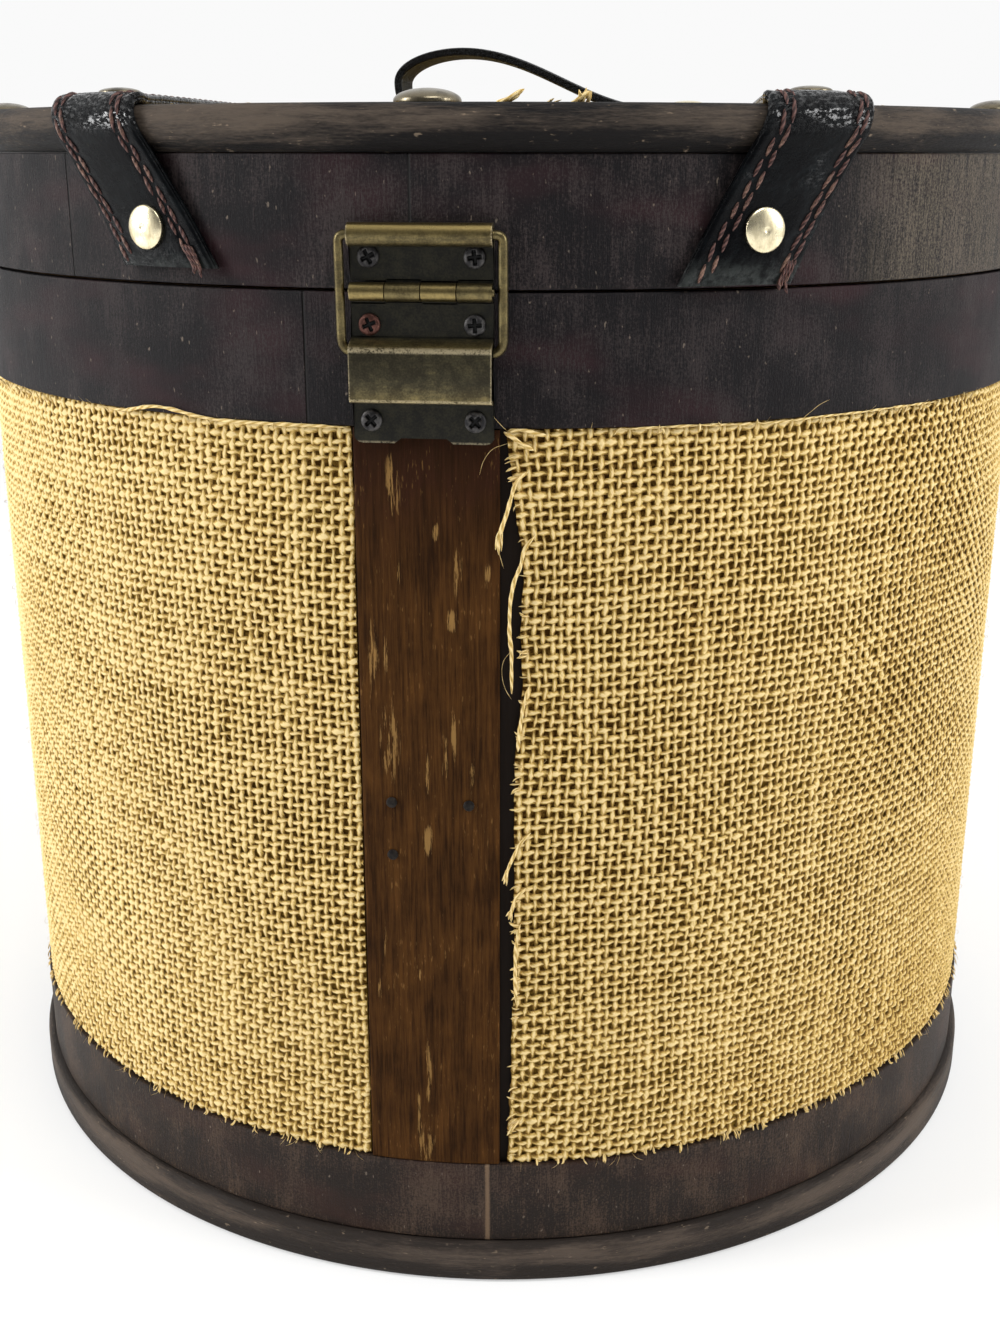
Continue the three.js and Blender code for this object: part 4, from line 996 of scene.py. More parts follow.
def jute_weave(name, gap_shade_colour):
    """Plain weave on a uv counted in yarns. Each upright yarn has the height cos(pi v) with a sign
    that changes from yarn to yarn, each level one the opposite in u; the higher one shows, round across
    its width, and where neither reaches there is a gap, painted dark as shade. A yarn sways in its lane,
    swells and thins, and is painted lighter on its crown, with painted shade where it dives under the
    next, at its sides and where two yarns meet."""
    finish, tone = new_finish(name)
    uv = tone.node("ShaderNodeUVMap")
    stray = tone.node("ShaderNodeTexNoise", None, {"Vector": uv, "Scale": 0.30, "Detail": 2.0}, out=1)
    drift = tone.node("ShaderNodeVectorMath", {"operation": "SUBTRACT"}, {0: stray, 1: (0.5, 0.5, 0.5)})
    drift = tone.node("ShaderNodeVectorMath", {"operation": "SCALE"}, {0: drift, "Scale": 0.30})
    spot = tone.node("ShaderNodeVectorMath", {"operation": "ADD"}, {0: uv, 1: drift})
    u = axis_of(spot, 0)
    v = axis_of(spot, 1)

    def yarn(across, along, sign):
        count = across.maths("FLOOR", across)
        odd = count.maths("PINGPONG", count, 1.0) * 2.0 - 1.0
        in_lane = {"X": count * 7.31, "Y": along * 0.17, "Z": sign * 3.7}
        lane = tone.node("ShaderNodeCombineXYZ", None, in_lane)
        swell = tone.node("ShaderNodeTexNoise", None, {"Vector": lane, "Scale": 1.0, "Detail": 2.0})
        by_lane = {"X": count * 5.77, "Y": along * 0.09, "Z": sign * 8.1}
        beside = tone.node("ShaderNodeCombineXYZ", None, by_lane)
        sway = tone.node("ShaderNodeTexNoise", None, {"Vector": beside, "Scale": 1.0, "Detail": 1.0})
        offset = across - count - 0.5 - 0.62 * (sway - 0.5)
        rise = odd * sign * along.maths("COSINE", (along - 0.5) * math.pi)
        half = (0.270 + 0.36 * (swell - 0.5)) * (1.0 + 0.15 * rise)
        lean = abs(offset) / half
        spread = lean.maths("MINIMUM", lean * lean, 1.0)
        bulge = lean.maths("SQRT", 1.0 - spread)
        slanting = {"X": offset * 9.0 + along * 2.2, "Y": along * 1.1, "Z": count * 3.3}
        twist = tone.node("ShaderNodeCombineXYZ", None, slanting)
        along_twist = {"Vector": twist, "Scale": 1.6, "Detail": 3.0, "Roughness": 0.65}
        fibre = tone.node("ShaderNodeTexNoise", None, along_twist)
        own = {"W": count + sign * 57.0}
        tint = tone.node("ShaderNodeTexWhiteNoise", {"noise_dimensions": "1D"}, own)
        inside = lean < 1.0
        high = (rise * 0.42 + bulge * 0.62) * inside - 2.0 * (1.0 - inside)
        # The tone rises with the yarn's rise and bulge: a painted highlight on its crown and painted shade where
        # it dives and at its sides.
        shade = fibre * 0.60 + tint * 0.17 + rise * 0.24 + bulge * 0.30 + swell * 0.20
        return high, inside, shade, fibre

    warp_high, warp_in, warp_shade, warp_fibre = yarn(u, v, 1.0)
    weft_high, weft_in, weft_shade, weft_fibre = yarn(v, u, -1.0)
    warp_over = warp_high > weft_high
    weft_over = 1.0 - warp_over
    there = u.maths("MAXIMUM", warp_in, weft_in)
    fibre = warp_fibre * warp_over + weft_fibre * weft_over
    blotch = cloudy(tone, uv, (0.05, 0.05, 1), 3.0)
    shade = warp_shade * warp_over + weft_shade * weft_over + blotch * 0.26 - 0.42
    colour = mingle(ease(shade, 0.08, 0.44), JUTE_DEEP, JUTE_MID)
    colour = mingle(ease(shade, 0.38, 0.78), colour, JUTE_LIGHT)
    # Painted shade where two yarns meet.
    contact_shade = 1.0 - ease(abs(warp_high - weft_high), 0.0, 0.22)
    colour = mingle(contact_shade * 0.75, colour, JUTE_DEEP)
    fluff = cloudy(tone, uv, (1.7, 1.7, 1), 4.0, 0.7)
    # The gaps are painted dark as shade, with a little fluff.
    gap = mingle(ease(fluff, 0.5, 0.75) * 0.5, gap_shade_colour, JUTE_DEEP)
    colour = mingle(there, gap, colour)
    wander = abs(cloudy(tone, uv, (0.8, 0.8, 1), 3.0, 0.55) - 0.5)
    tufted = ease(cloudy(tone, uv, (0.19, 0.19, 1), 2.0), 0.50, 0.62)
    hair = (1.0 - ease(wander, 0.0, 0.022)) * tufted
    colour = mingle(hair * 0.7, colour, JUTE_PALE)
    height = there * (0.9 + u.maths("MAXIMUM", warp_high, weft_high) + fibre * 0.30)
    sockets = {"Base Color": colour, "Roughness": 0.84, "Specular IOR Level": 0.18,
               "Sheen Weight": 0.22, "Sheen Roughness": 0.5, "Sheen Tint": JUTE_SHEEN}
    close_finish(tone, sockets, height, depth=0.00062, strength=0.9)
    return finish


reach = (np.linspace(0, 1, 33) ** 0.8)[:, None] * LID_CLOTH_R
around = np.linspace(2 * np.pi, 0, 161)[None, :]
east, north = reach * np.cos(around), reach * np.sin(around)
swell = gentle_waves(17, east, north, (0.09, 0.05, 0.034), 0.00012) * (reach > 0)
points = np.stack([reach * np.sin(around), -reach * np.cos(around), LID_CLOTH_TOP + swell], -1)
x, y = points[..., 0], points[..., 1]
warp_count = x / PITCH_ACROSS + gentle_waves(19, x, y, (0.21, 0.09, 0.06), 0.4)
weft_count = y / PITCH_UP + gentle_waves(23, x, y, (0.24, 0.11, 0.07), 0.4)
lid_uv = np.stack([warp_count, weft_count], -1)
lid_cloth = put_mesh("lid_hessian", skin(points[:, :-1], lid_uv, turned=True))
thickness = lid_cloth.modifiers.new("cloth_thickness", "SOLIDIFY")
thickness.thickness, thickness.offset = LID_CLOTH_T, -1.0
settle(lid_cloth, jute_weave("lid_hessian_jute", JUTE_GAP_SHADE), "lid", "burlap", "lid_burlap")


def on_rim(rows):
    """Points from rows of degrees from the hinge, height and distance from the lid's middle in mm:
    x = r sin a, y = -r cos a."""
    degrees, height, reach = np.asarray(rows, float).T
    turn = np.radians(degrees)
    return np.stack([reach / 1000 * np.sin(turn), -reach / 1000 * np.cos(turn), height / 1000], -1)


rim_yarns = [
    (0.55, [(5.9, 288.5, 144.5), (6.7, 289.1, 146.6), (7.3, 290.0, 147.4), (8.2, 291.3, 147.7)]),
    (0.45, [(6.2, 288.5, 144.6), (7.0, 289.1, 146.7), (7.5, 289.7, 147.4), (7.9, 290.4, 147.6)]),
    (0.40, [(6.0, 288.5, 144.8), (6.5, 288.9, 146.6), (6.9, 289.4, 147.3), (7.3, 290.0, 147.5)]),
    (0.30, [(10.0, 288.5, 145.0), (10.3, 289.0, 147.0), (10.6, 289.5, 147.5)]),
    (0.24, [(10.6, 288.5, 145.0), (10.8, 288.9, 147.0), (11.2, 289.2, 147.5)]),
    (0.55, [(12.1, 288.5, 145.0), (12.4, 289.0, 146.9), (12.9, 290.0, 147.5), (13.5, 290.9, 147.6)]),
    (0.50, [(12.7, 288.5, 145.0), (12.9, 289.1, 146.9), (13.1, 290.2, 147.5), (13.2, 291.6, 147.6)]),
    (0.45, [(13.3, 288.5, 145.0), (13.4, 289.0, 146.9), (13.5, 289.9, 147.4), (13.6, 291.0, 147.6)]),
    (0.40, [(12.4, 288.5, 145.2), (12.6, 289.1, 147.0), (12.7, 290.1, 147.5), (12.6, 291.2, 147.6)]),
]
tufts = [strand(on_rim(rows), width / 1000, seed) for seed, (width, rows) in enumerate(rim_yarns)]
dice = np.random.default_rng(43)
# short hairs all round the rim
for seed in range(60):
    turn, lean, stand = dice.uniform(0, 360), dice.normal(0, 0.7), dice.uniform(-0.5, 0.25)
    rows = [(turn, 288.5, 144.8), (turn + 0.4 * lean, 288.7 + 0.3 * stand, 146.5),
            (turn + lean, 288.8 + stand, 147.2)]
    tufts.append(strand(on_rim(rows), dice.uniform(0.05, 0.15) / 1000, seed, sides=3, step=0.0009))
lid_fringe = put_mesh("lid_hessian_loose_yarns", *tufts, sharp=180)
settle(lid_fringe, loose_jute, "lid", "burlap")


# Leather straps: two stitched straps laid over the lid and bent down over the hoop, their ends slanting.
# Black glazed leather in two layers, with a double row of red-brown thread along each edge.
STRAP_W = 0.0222
STRAP_T = 0.0024
STRAPS = {"left": (-0.0755, 0.60, 0.2546), "right": (0.0815, 0.52, 0.2516)}
STRAP_TOP = 0.2888
BAND_SKIN_R = 0.1508
HOOP_GAP = 0.0003
STRAP_DROP = 0.011
COURSE_IN = 0.0105
STITCH_ROWS = {"outer": (0.0018, 0.0034), "inner": (0.0031, 0.0048)}
STITCH_PITCH = 0.0044
STITCH_L = 0.0041
STITCH_HALF = 0.00043
STITCH_RISE = 0.00050
THREAD_R = 0.00036
LOOSE_ENDS = ((0.0, 0.0022, 0.0005), (-0.0007, 0.0010, -0.0003), (-0.0013, 0.0014, 0.0002))
LEATHER = (0.0015, 0.0016, 0.0021, 1)
LEATHER_PALE = (0.0060, 0.0080, 0.0092, 1)
LEATHER_END_SHEEN = (0.034, 0.038, 0.036, 1)
THREAD = (0.135, 0.063, 0.052, 1)
THREAD_DARK = (0.026, 0.0105, 0.0098, 1)
THREAD_TAN = (0.36, 0.22, 0.15, 1)


def glazed_leather(name, lining=None):
    """Black leather with a fine pebble grain of smooth cells, small creases and dust, glossier where it is
    less scuffed, crackled and glinting where it folds over the hoop, and given a pale painted sheen at a
    strap's end. A lining is a colour for the side of a strap whose u lies between two girths."""
    finish, tone = new_finish(name)
    spot = tone.node("ShaderNodeUVMap")
    cells = {"Vector": spot, "Scale": 1500.0, "Smoothness": 0.7}
    pebbles = tone.node("ShaderNodeTexVoronoi", {"feature": "SMOOTH_F1"}, cells)
    creases = cloudy(tone, spot, (620, 520, 1), 5.0, 0.66)
    dust = cloudy(tone, spot, (3400, 3400, 1), 3.0, 0.6)
    scuffs = cloudy(tone, spot, (90, 70, 1), 4.0, 0.6)
    colour = mingle(ease(creases * 0.4 + scuffs * 0.4 + dust * 0.3, 0.5, 0.72), LEATHER, LEATHER_PALE)
    z = axis_of(object_spot(tone), 2)
    folded = ease(z, 0.2815, 0.2872)
    ended = 1.0 - ease(z, 0.2530, 0.2585)
    # A pale painted sheen at the strap's end, broken up by the creases and scuffs.
    end_sheen = ended * (0.15 + 0.75 * ease(creases * 0.5 + scuffs * 0.5, 0.44, 0.60))
    colour = mingle(end_sheen, colour, LEATHER_END_SHEEN)
    crackled = z.maths("MAXIMUM", ease(scuffs, 0.52, 0.66), folded * 0.8)
    polish = 0.9 * folded + 0.6 * ended + 0.4 * ease(scuffs, 0.56, 0.66)
    glints = ease(cloudy(tone, spot, (700, 1500, 1), 4.0, 0.72), 0.50, 0.60) * polish
    rough = 0.17 + 0.16 * scuffs + 0.06 * dust
    if lining is not None:
        lining_colour, low, high = lining
        u = axis_of(spot, 0)
        lined = ease(u, low, low + 0.0003) * (1.0 - ease(u, high - 0.0003, high))
        pale_nap = [2.4 * c for c in lining_colour[:3]] + [1]
        nap = mingle(ease(creases * 0.5 + dust * 0.5, 0.4, 0.65), lining_colour, pale_nap)
        colour = mingle(lined, colour, nap)
        rough = rough + 0.3 * lined
        glints = glints * 0.15 * (1.0 - lined)
    grain = (pebbles * -0.6 + dust * 0.3) * (0.25 + 1.6 * crackled + 2.2 * folded)
    height = grain + ease(creases, 0.35, 0.65) * (0.25 + 0.9 * crackled + 2.2 * folded)
    sockets = {"Base Color": colour, "Roughness": rough, "Specular IOR Level": 0.075,
               "Coat Weight": glints, "Coat Roughness": 0.10}
    close_finish(tone, sockets, height, depth=0.00013)
    return finish


black_leather = glazed_leather("black_leather")

red_thread, tone = new_finish("red_brown_thread")
spot = tone.node("ShaderNodeUVMap")
u = axis_of(spot, 0)
v = axis_of(spot, 1)
ply = u.maths("SINE", u * 16.0 + v * 7.0) * 0.5 + 0.5
fuzz = cloudy(tone, spot, (9, 9, 1), 3.0)
worn = cloudy(tone, spot, (0.7, 0.4, 1), 2.0)
colour = mingle(ease(ply * 0.5 + fuzz * 0.7, 0.3, 0.95), THREAD_DARK, THREAD)
colour = mingle(ease(worn * 0.7 + fuzz * 0.3, 0.54, 0.68) * 0.6, colour, THREAD_TAN)
sockets = {"Base Color": colour, "Roughness": 0.6, "Specular IOR Level": 0.3}
close_finish(tone, sockets, ply, depth=0.00012)

bend = np.array([0.5, 0.36, 0.22, 0.1, 0.0]) * np.pi
over_r = HOOP_CREST_R + (HOOP_RX + HOOP_GAP) * np.cos(bend)
over_z = HOOP_MID + (HOOP_RZ + HOOP_GAP) * np.sin(bend)
hoop_out = HOOP_CREST_R + HOOP_RX
land = HOOP_MID - HOOP_RZ - STRAP_DROP
bridge_r = [BAND_SKIN_R + part * (hoop_out - BAND_SKIN_R) for part in (0.82, 0.28)]
bridge_z = [HOOP_MID - 0.0034, land + 0.4 * STRAP_DROP]
start_r = HOOP_CREST_R - HOOP_RX - COURSE_IN
lowest = min(foot for _, _, foot in STRAPS.values())
course_r = np.concatenate([[start_r, HOOP_CREST_R - HOOP_RX], over_r, bridge_r, [BAND_SKIN_R] * 2])
course_z = np.concatenate([[STRAP_TOP] * 2, over_z, bridge_z, [land, lowest]])
course, course_s = smooth_course(np.stack([course_r, course_z], -1), 90)
tangent = unit(np.gradient(course, course_s, axis=0))
course_n = np.stack([-tangent[:, 1], tangent[:, 0]], -1)


def flat_run(middle):
    """Half the length of a strap's straight run over the lid, up to where its bent course starts."""
    return math.sqrt(start_r**2 - middle**2)


def run_down_to(middle, height):
    """The length from the middle of the lid to where a strap's underside comes down to a height."""
    return flat_run(middle) + float(np.interp(-height, -course[6:, 1], course_s[6:]))


def on_strap(label, s, across, rise):
    """A spot on a strap: s metres along it from the middle of the lid, positive away from the hinge,
    across from its middle line and rise above its underside. On the flat it runs straight; over the
    hoop it follows the course of radius and height, turned by the slant as it drops."""
    middle, slant, _ = STRAPS[label]
    flat = flat_run(middle)
    over = np.maximum(np.abs(s) - flat, 0)
    radius = np.interp(over, course_s, course[:, 0])
    height = np.interp(over, course_s, course[:, 1])
    lean_r = np.interp(over, course_s, course_n[:, 0])
    lean_z = np.interp(over, course_s, course_n[:, 1])
    turned = np.where(radius < HOOP_CREST_R, 0, slant * np.maximum(STRAP_TOP - height, 0) / BAND_OUT_R)
    angle = np.arcsin((middle + across) / np.minimum(radius, HOOP_CREST_R)) - np.sign(middle) * turned
    run = np.where(np.abs(s) < flat, np.abs(s) / flat, 1)
    side = np.where(s < 0, -1, 1)
    out = radius + rise * lean_r
    return np.stack([out * np.sin(angle), side * run * out * np.cos(angle), height + rise * lean_z], -1)


half = STRAP_W / 2
face = np.linspace(half - 0.0007, -half + 0.0007, 41)
crown = STRAP_T - 0.00005 + 0.00018 * (1 - (face / half) ** 2)
for row in (0.0026, 0.0040):
    crown -= 0.00020 * np.exp(-(((np.abs(face) - (half - row)) / 0.0009) ** 2))
edge_h = np.array([0.0002, 0.0008, 0.00115, 0.0015, 0.0020])
edge_in = np.array([0.00025, 0.0, 0.00026, 0.0, 0.0002])
strap_section = np.vstack([
    np.stack([half - edge_in, edge_h], -1),
    np.stack([face, crown], -1),
    np.stack([-half + edge_in[::-1], edge_h[::-1]], -1),
    np.stack([np.linspace(-half + 0.0006, half - 0.0006, 9), np.zeros(9)], -1),
])
strap_loop = np.vstack([strap_section, strap_section[:1]])
strap_girth = run_along(strap_loop)


def stitches(label, rows, starts):
    """Short threads lying along a strap: each is a half round of five by four faces over a spindle
    whose width is the root of a sine along it, every other row nearly half a stitch ahead."""
    t = np.linspace(0, 1, 6)[:, None]
    swing = np.linspace(0, np.pi, 5)[None, :]
    girth = np.sqrt(np.sin(np.pi * (0.04 + 0.92 * t)))
    side = STITCH_HALF * girth * np.cos(swing)
    lift = -0.00012 + STITCH_RISE * girth * np.sin(swing)
    run = (t - 0.5) * STITCH_L
    made = []
    dice = np.random.default_rng(29)
    for start in starts:
        for number, (across, lean) in enumerate(rows):
            skew = lean + dice.normal(0, 0.035)
            jog = dice.normal(0, 0.00007)
            s = start + (number % 2) * 0.45 * STITCH_L + run * dice.uniform(0.88, 1.02) + 0 * swing
            u = across + jog + side + run * skew
            uv = stacked(t + start * 331, swing / np.pi)
            made.append(skin(on_strap(label, s, u, STRAP_T + lift), uv))
    return made


for label, (middle, _, foot) in STRAPS.items():
    flat, end = flat_run(middle), run_down_to(middle, foot)
    over_run = np.linspace(flat, end, 80)
    strap_s = np.concatenate([-over_run[::-1], np.linspace(-flat, flat, 41)[1:-1], over_run])
    rings = on_strap(label, strap_s[:, None], strap_section[None, :, 0], strap_section[None, :, 1])
    uv = stacked(strap_girth[None, :], strap_s[:, None] + (0.5 if middle > 0 else 0.0))
    strap = put_mesh(f"leather_strap_{label}", closed_loft(rings, uv), sharp=60)
    settle(strap, black_leather, "lid", "black_leather", f"strap_{label}")
    inward = -np.sign(middle)
    edges = ((inward, "inner"), (-inward, "outer"))
    stitch_rows = [(sign * (half - row), sign * 0.09) for sign, edge in edges for row in STITCH_ROWS[edge]]
    starts = np.arange(-end + 0.0026, end - 0.0042, STITCH_PITCH)
    sewn = stitches(label, stitch_rows, starts)
    tail = half - STITCH_ROWS["inner" if middle < 0 else "outer"][0]
    near_end = np.array([0.0050, 0.0022, 0.0002]) - end
    for number, (aside, drop, sway) in enumerate(LOOSE_ENDS):
        along = on_strap(label, near_end, np.full(3, tail + aside), STRAP_T + 0.0004)
        fall = along[-1] + np.array([[0.3 * sway, -0.0002, -0.5 * drop], [sway, -0.0004, -drop]])
        sewn.append(strand(np.vstack([along, fall]), THREAD_R, 5 + number, step=0.0006))
    seam = put_mesh(f"strap_stitching_{label}", *sewn, sharp=180)
    settle(seam, red_thread, "lid", "black_leather")


# Rivets and studs: pressed caps of pale gilt metal, low domes with a tiny dimple at the crown.
# The small ones pin the straps at the band and on the lid; six large ones stand round the lid's rim.
# The studs and the rivets on the lid's top are darker, partly a duller metal and partly a painted dark
# reflection.
RIVET_R = 0.0048
RIVET_H = 0.0015
RIVET_Z = 0.2631
RIVET_INSET = 0.0105
CAP_GAP = 0.0003
STUD_R = 0.00725
STUD_H = 0.0031
STUD_RING = 0.141
STUD_BASE = 0.2887
STUD_DEGREES = (0, 72, 108, 180, 252, 288)
GILT = (0.80, 0.715, 0.49, 1)
GILT_DULL = (0.48, 0.40, 0.24, 1)
STUD_GILT_SHADED = (0.19, 0.163, 0.112, 1)
STUD_DULL_SHADED = (0.060, 0.050, 0.034, 1)


def gilt(name, clean, dull):
    """Thin bright plating with cloudy tarnish and hair scratches between two colours."""
    finish, tone = new_finish(name)
    spot = object_spot(tone)
    tarnish = cloudy(tone, spot, (260, 260, 260), 4.0, 0.6)
    scratch = cloudy(tone, spot, (2400, 2400, 300), 3.0, 0.7)
    colour = mingle(ease(tarnish * 0.8 + scratch * 0.3, 0.5, 0.75), clean, dull)
    rough = 0.22 + 0.14 * ease(tarnish, 0.4, 0.7) + 0.06 * scratch
    sockets = {"Base Color": colour, "Metallic": 1.0, "Roughness": rough}
    close_finish(tone, sockets, scratch + tarnish, depth=0.000014)
    return finish


pale_gilt = gilt("pale_gilt", GILT, GILT_DULL)
# A darker copy of the gilt for the studs and the rivets on the lid's top: partly a duller metal, partly a
# painted dark reflection.
shaded_dull_gilt = gilt("shaded_dull_gilt", STUD_GILT_SHADED, STUD_DULL_SHADED)
rivet_profile = dome_profile(RIVET_R, RIVET_H, RIVET_H / 3.4, 0.00034, 0.00022)
for label, (middle, _, _) in STRAPS.items():
    flat_y = math.sqrt((HOOP_CREST_R - RIVET_INSET) ** 2 - middle**2)
    end_s = run_down_to(middle, RIVET_Z)
    for side, where in ((-1, "back"), (1, "front")):
        foot = on_strap(label, np.array([side * end_s]), np.array([0.0]), STRAP_T + CAP_GAP)[0]
        out = foot * (1, 1, 0)
        end = put_mesh(f"rivet_{label}_{where}_end", cap_on(rivet_profile, foot, out))
        settle(end, pale_gilt, "lid", "pale_gold", f"strap_rivet_{label}_{where}_end")
        seat = (middle, side * flat_y, STRAP_TOP + STRAP_T + CAP_GAP)
        top = put_mesh(f"rivet_{label}_{where}_top", cap_on(rivet_profile, seat, (0, 0, 1)))
        settle(top, shaded_dull_gilt, "lid", "pale_gold", f"strap_rivet_{label}_{where}_top")
stud_profile = dome_profile(STUD_R, STUD_H, STUD_H / 6, 0.0002, 0.0, 20)
for number, degrees in enumerate(STUD_DEGREES, 1):
    turn = math.radians(degrees)
    seat = (STUD_RING * math.sin(turn), -STUD_RING * math.cos(turn), STUD_BASE)
    stud = put_mesh(f"lid_dome_{number}", cap_on(stud_profile, seat, (0, 0, 1), 40))
    settle(stud, shaded_dull_gilt, "lid", "pale_gold", f"lid_stud_{number}")


# Carrying handle: one leather strap across the lid, arched for the hand, olive-brown on its inner side.
# Its left end is folded back under itself and its right end lies flat; a rivet pins each.
HANDLE_W = 0.020
HANDLE_T = 0.0026
TAB_MID = 0.2901
APEX = (-0.011, 0.3063)
FOLD_X = -0.0231
BULGE = (-0.0296, 0.2981)
LANDING_X = 0.046
TAB_LEFT = -0.008
TAB_RIGHT = 0.062
CAP_IN = 0.008
HANDLE_LINING = (0.018, 0.0165, 0.0085, 1)


def cubic(a, b, c, d, count):
    """Points of a cubic curve from a to d, drawn towards b and c."""
    t = np.linspace(0, 1, count)[:, None]
    a, b, c, d = (np.asarray(p, float) for p in (a, b, c, d))
    return (1 - t) ** 3 * a + 3 * (1 - t) ** 2 * t * b + 3 * (1 - t) * t**2 * c + t**3 * d


bulge_x, bulge_z = BULGE
apex_x, apex_z = APEX
handle_path = np.vstack([
    np.linspace((TAB_LEFT, TAB_MID), (FOLD_X, TAB_MID), 12)[:-1],
    cubic((FOLD_X, TAB_MID), (FOLD_X - 0.0045, TAB_MID), (bulge_x, bulge_z - 0.0045), BULGE, 16)[:-1],
    cubic(BULGE, (bulge_x, bulge_z + 0.005), (apex_x - 0.009, apex_z), APEX, 20)[:-1],
    cubic(APEX, (apex_x + 0.021, apex_z), (LANDING_X - 0.021, TAB_MID), (LANDING_X, TAB_MID), 34)[:-1],
    np.linspace((LANDING_X, TAB_MID), (TAB_RIGHT, TAB_MID), 12),
])
handle_s = run_along(handle_path)
handle_t = unit(np.gradient(handle_path, handle_s, axis=0))


def on_handle(s, across, rise):
    """A spot on the handle: s metres along its path, across it in y and rise above its middle layer."""
    x = np.interp(s, handle_s, handle_path[:, 0]) + rise * np.interp(s, handle_s, handle_t[:, 1])
    z = np.interp(s, handle_s, handle_path[:, 1]) - rise * np.interp(s, handle_s, handle_t[:, 0])
    return np.stack([x, across + 0 * x, z], -1)


half = HANDLE_W / 2
face = np.linspace(half - 0.0006, -half + 0.0006, 25)
skin_h = HANDLE_T / 2 - 0.0003 * (face / half) ** 4
handle_section = np.vstack([
    [(half - 0.0001, -0.0008), (half - 0.0002, 0), (half - 0.0001, 0.0008)],
    np.stack([face, skin_h], -1),
    [(-half + 0.0001, 0.0008), (-half + 0.0002, 0), (-half + 0.0001, -0.0008)],
    np.stack([face[::-1], -skin_h], -1),
])
handle_loop = np.vstack([handle_section, handle_section[:1]])
handle_girth = run_along(handle_loop)
rings = on_handle(handle_s[:, None], handle_section[None, :, 0], handle_section[None, :, 1])
uv = stacked(handle_girth[None, :], handle_s[:, None] + 1.0)
handle = put_mesh("leather_handle", closed_loft(rings, uv), sharp=60)
lined_leather = glazed_leather("lined_leather", (HANDLE_LINING, 0.0016, 0.0205))
settle(handle, lined_leather, "lid", "black_leather", "handle_strap")
for x, label in ((TAB_LEFT - CAP_IN, "left"), (TAB_RIGHT - CAP_IN, "right")):
    seat = (x, 0, TAB_MID + HANDLE_T / 2 + CAP_GAP)
    rivet = put_mesh(f"handle_cap_{label}", cap_on(rivet_profile, seat, (0, 0, 1)))
    settle(rivet, pale_gilt, "lid", "pale_gold", f"handle_rivet_{label}")


# Hinge leaves: two plates bent from thin sheet, with interleaved knuckles on one pin.
# Antique brass: olive-brown patina, rubbed bright on the roll, the knuckles and the raised channel,
# with a painted highlight along the roll's crown and the channel's upper bend.
SKIN_Y = -0.1505
SEAM_Z = 0.2507
LEAF_T = 0.0009
LEAF_W = 0.0308
LEAF_MID = 0.0007
PIN_U = 0.00225
KNUCKLE_R = 0.00155
ROLL_U = 0.00275
ROLL_W = 0.0118
ROLL_R = 0.00205
CHANNEL_U = 0.00555
LEAF_FOOT = 0.0324
LEAF_EASE = 0.00016
KNUCKLE_PLAY = 0.00012
LEAF_DARK = (0.0112, 0.0108, 0.0088, 1)
LEAF_OLIVE = (0.026, 0.0242, 0.0152, 1)
BRASS = (0.335, 0.252, 0.098, 1)
BRASS_DULL = (0.112, 0.097, 0.053, 1)
BRASS_BROWN = (0.066, 0.053, 0.028, 1)
BRASS_EDGE = (0.62, 0.52, 0.33, 1)


def aged_brass(name, wear_and_sheen, worn):
    """Brass under a dark patina. The first function gives how far the brass shows, partly wear and partly
    a painted highlight, from the distance that a spot stands out from the band and its height above the
    seam; worn(across, outward, up) gives the edges that are bare, with the distance from the middle of
    the hinge. Spots and brushing break both."""
    finish, tone = new_finish(name)
    spot = object_spot(tone)
    across = abs(axis_of(spot, 0))
    outward = SKIN_Y - axis_of(spot, 1)
    up = axis_of(spot, 2) - SEAM_Z
    blotch = cloudy(tone, spot, (330, 330, 330), 5.0, 0.62)
    brushed = cloudy(tone, spot, (260, 2200, 2200), 3.0, 0.6)
    pits = cloudy(tone, spot, (2300, 2300, 2300), 2.0)
    shown = wear_and_sheen(outward, up)
    rub = ease(blotch * 0.50 + brushed * 0.28 + pits * 0.22 + shown, 0.75, 1.45)
    colour = mingle(ease(blotch * 0.6 + pits * 0.4, 0.38, 0.66), LEAF_DARK, LEAF_OLIVE)
    old = mingle(ease(blotch * 0.6 + pits * 0.4, 0.38, 0.64), BRASS_BROWN, BRASS_DULL)
    colour = mingle(ease(shown, 0.12, 0.5), colour, old)
    colour = mingle(rub, colour, BRASS)
    edge = worn(across, outward, up) * ease(pits * 0.6 + blotch * 0.4, 0.32, 0.58)
    colour = mingle(edge, colour, BRASS_EDGE)
    rough = 0.36 - 0.13 * rub + 0.12 * pits
    metal = 0.6 + 0.4 * ease(shown, 0.1, 0.5)
    sockets = {"Base Color": colour, "Metallic": metal, "Roughness": rough, "Specular IOR Level": 0.3}
    close_finish(tone, sockets, pits * 0.6 + brushed * 0.4, depth=0.00004)
    return finish


def arc(centre_u, centre_w, radius, start, stop, count):
    """Points of (outward, up) round a centre, between two angles in half turns."""
    angle = np.linspace(start, stop, count) * np.pi
    return np.stack([centre_u + radius * np.cos(angle), centre_w + radius * np.sin(angle)], -1)


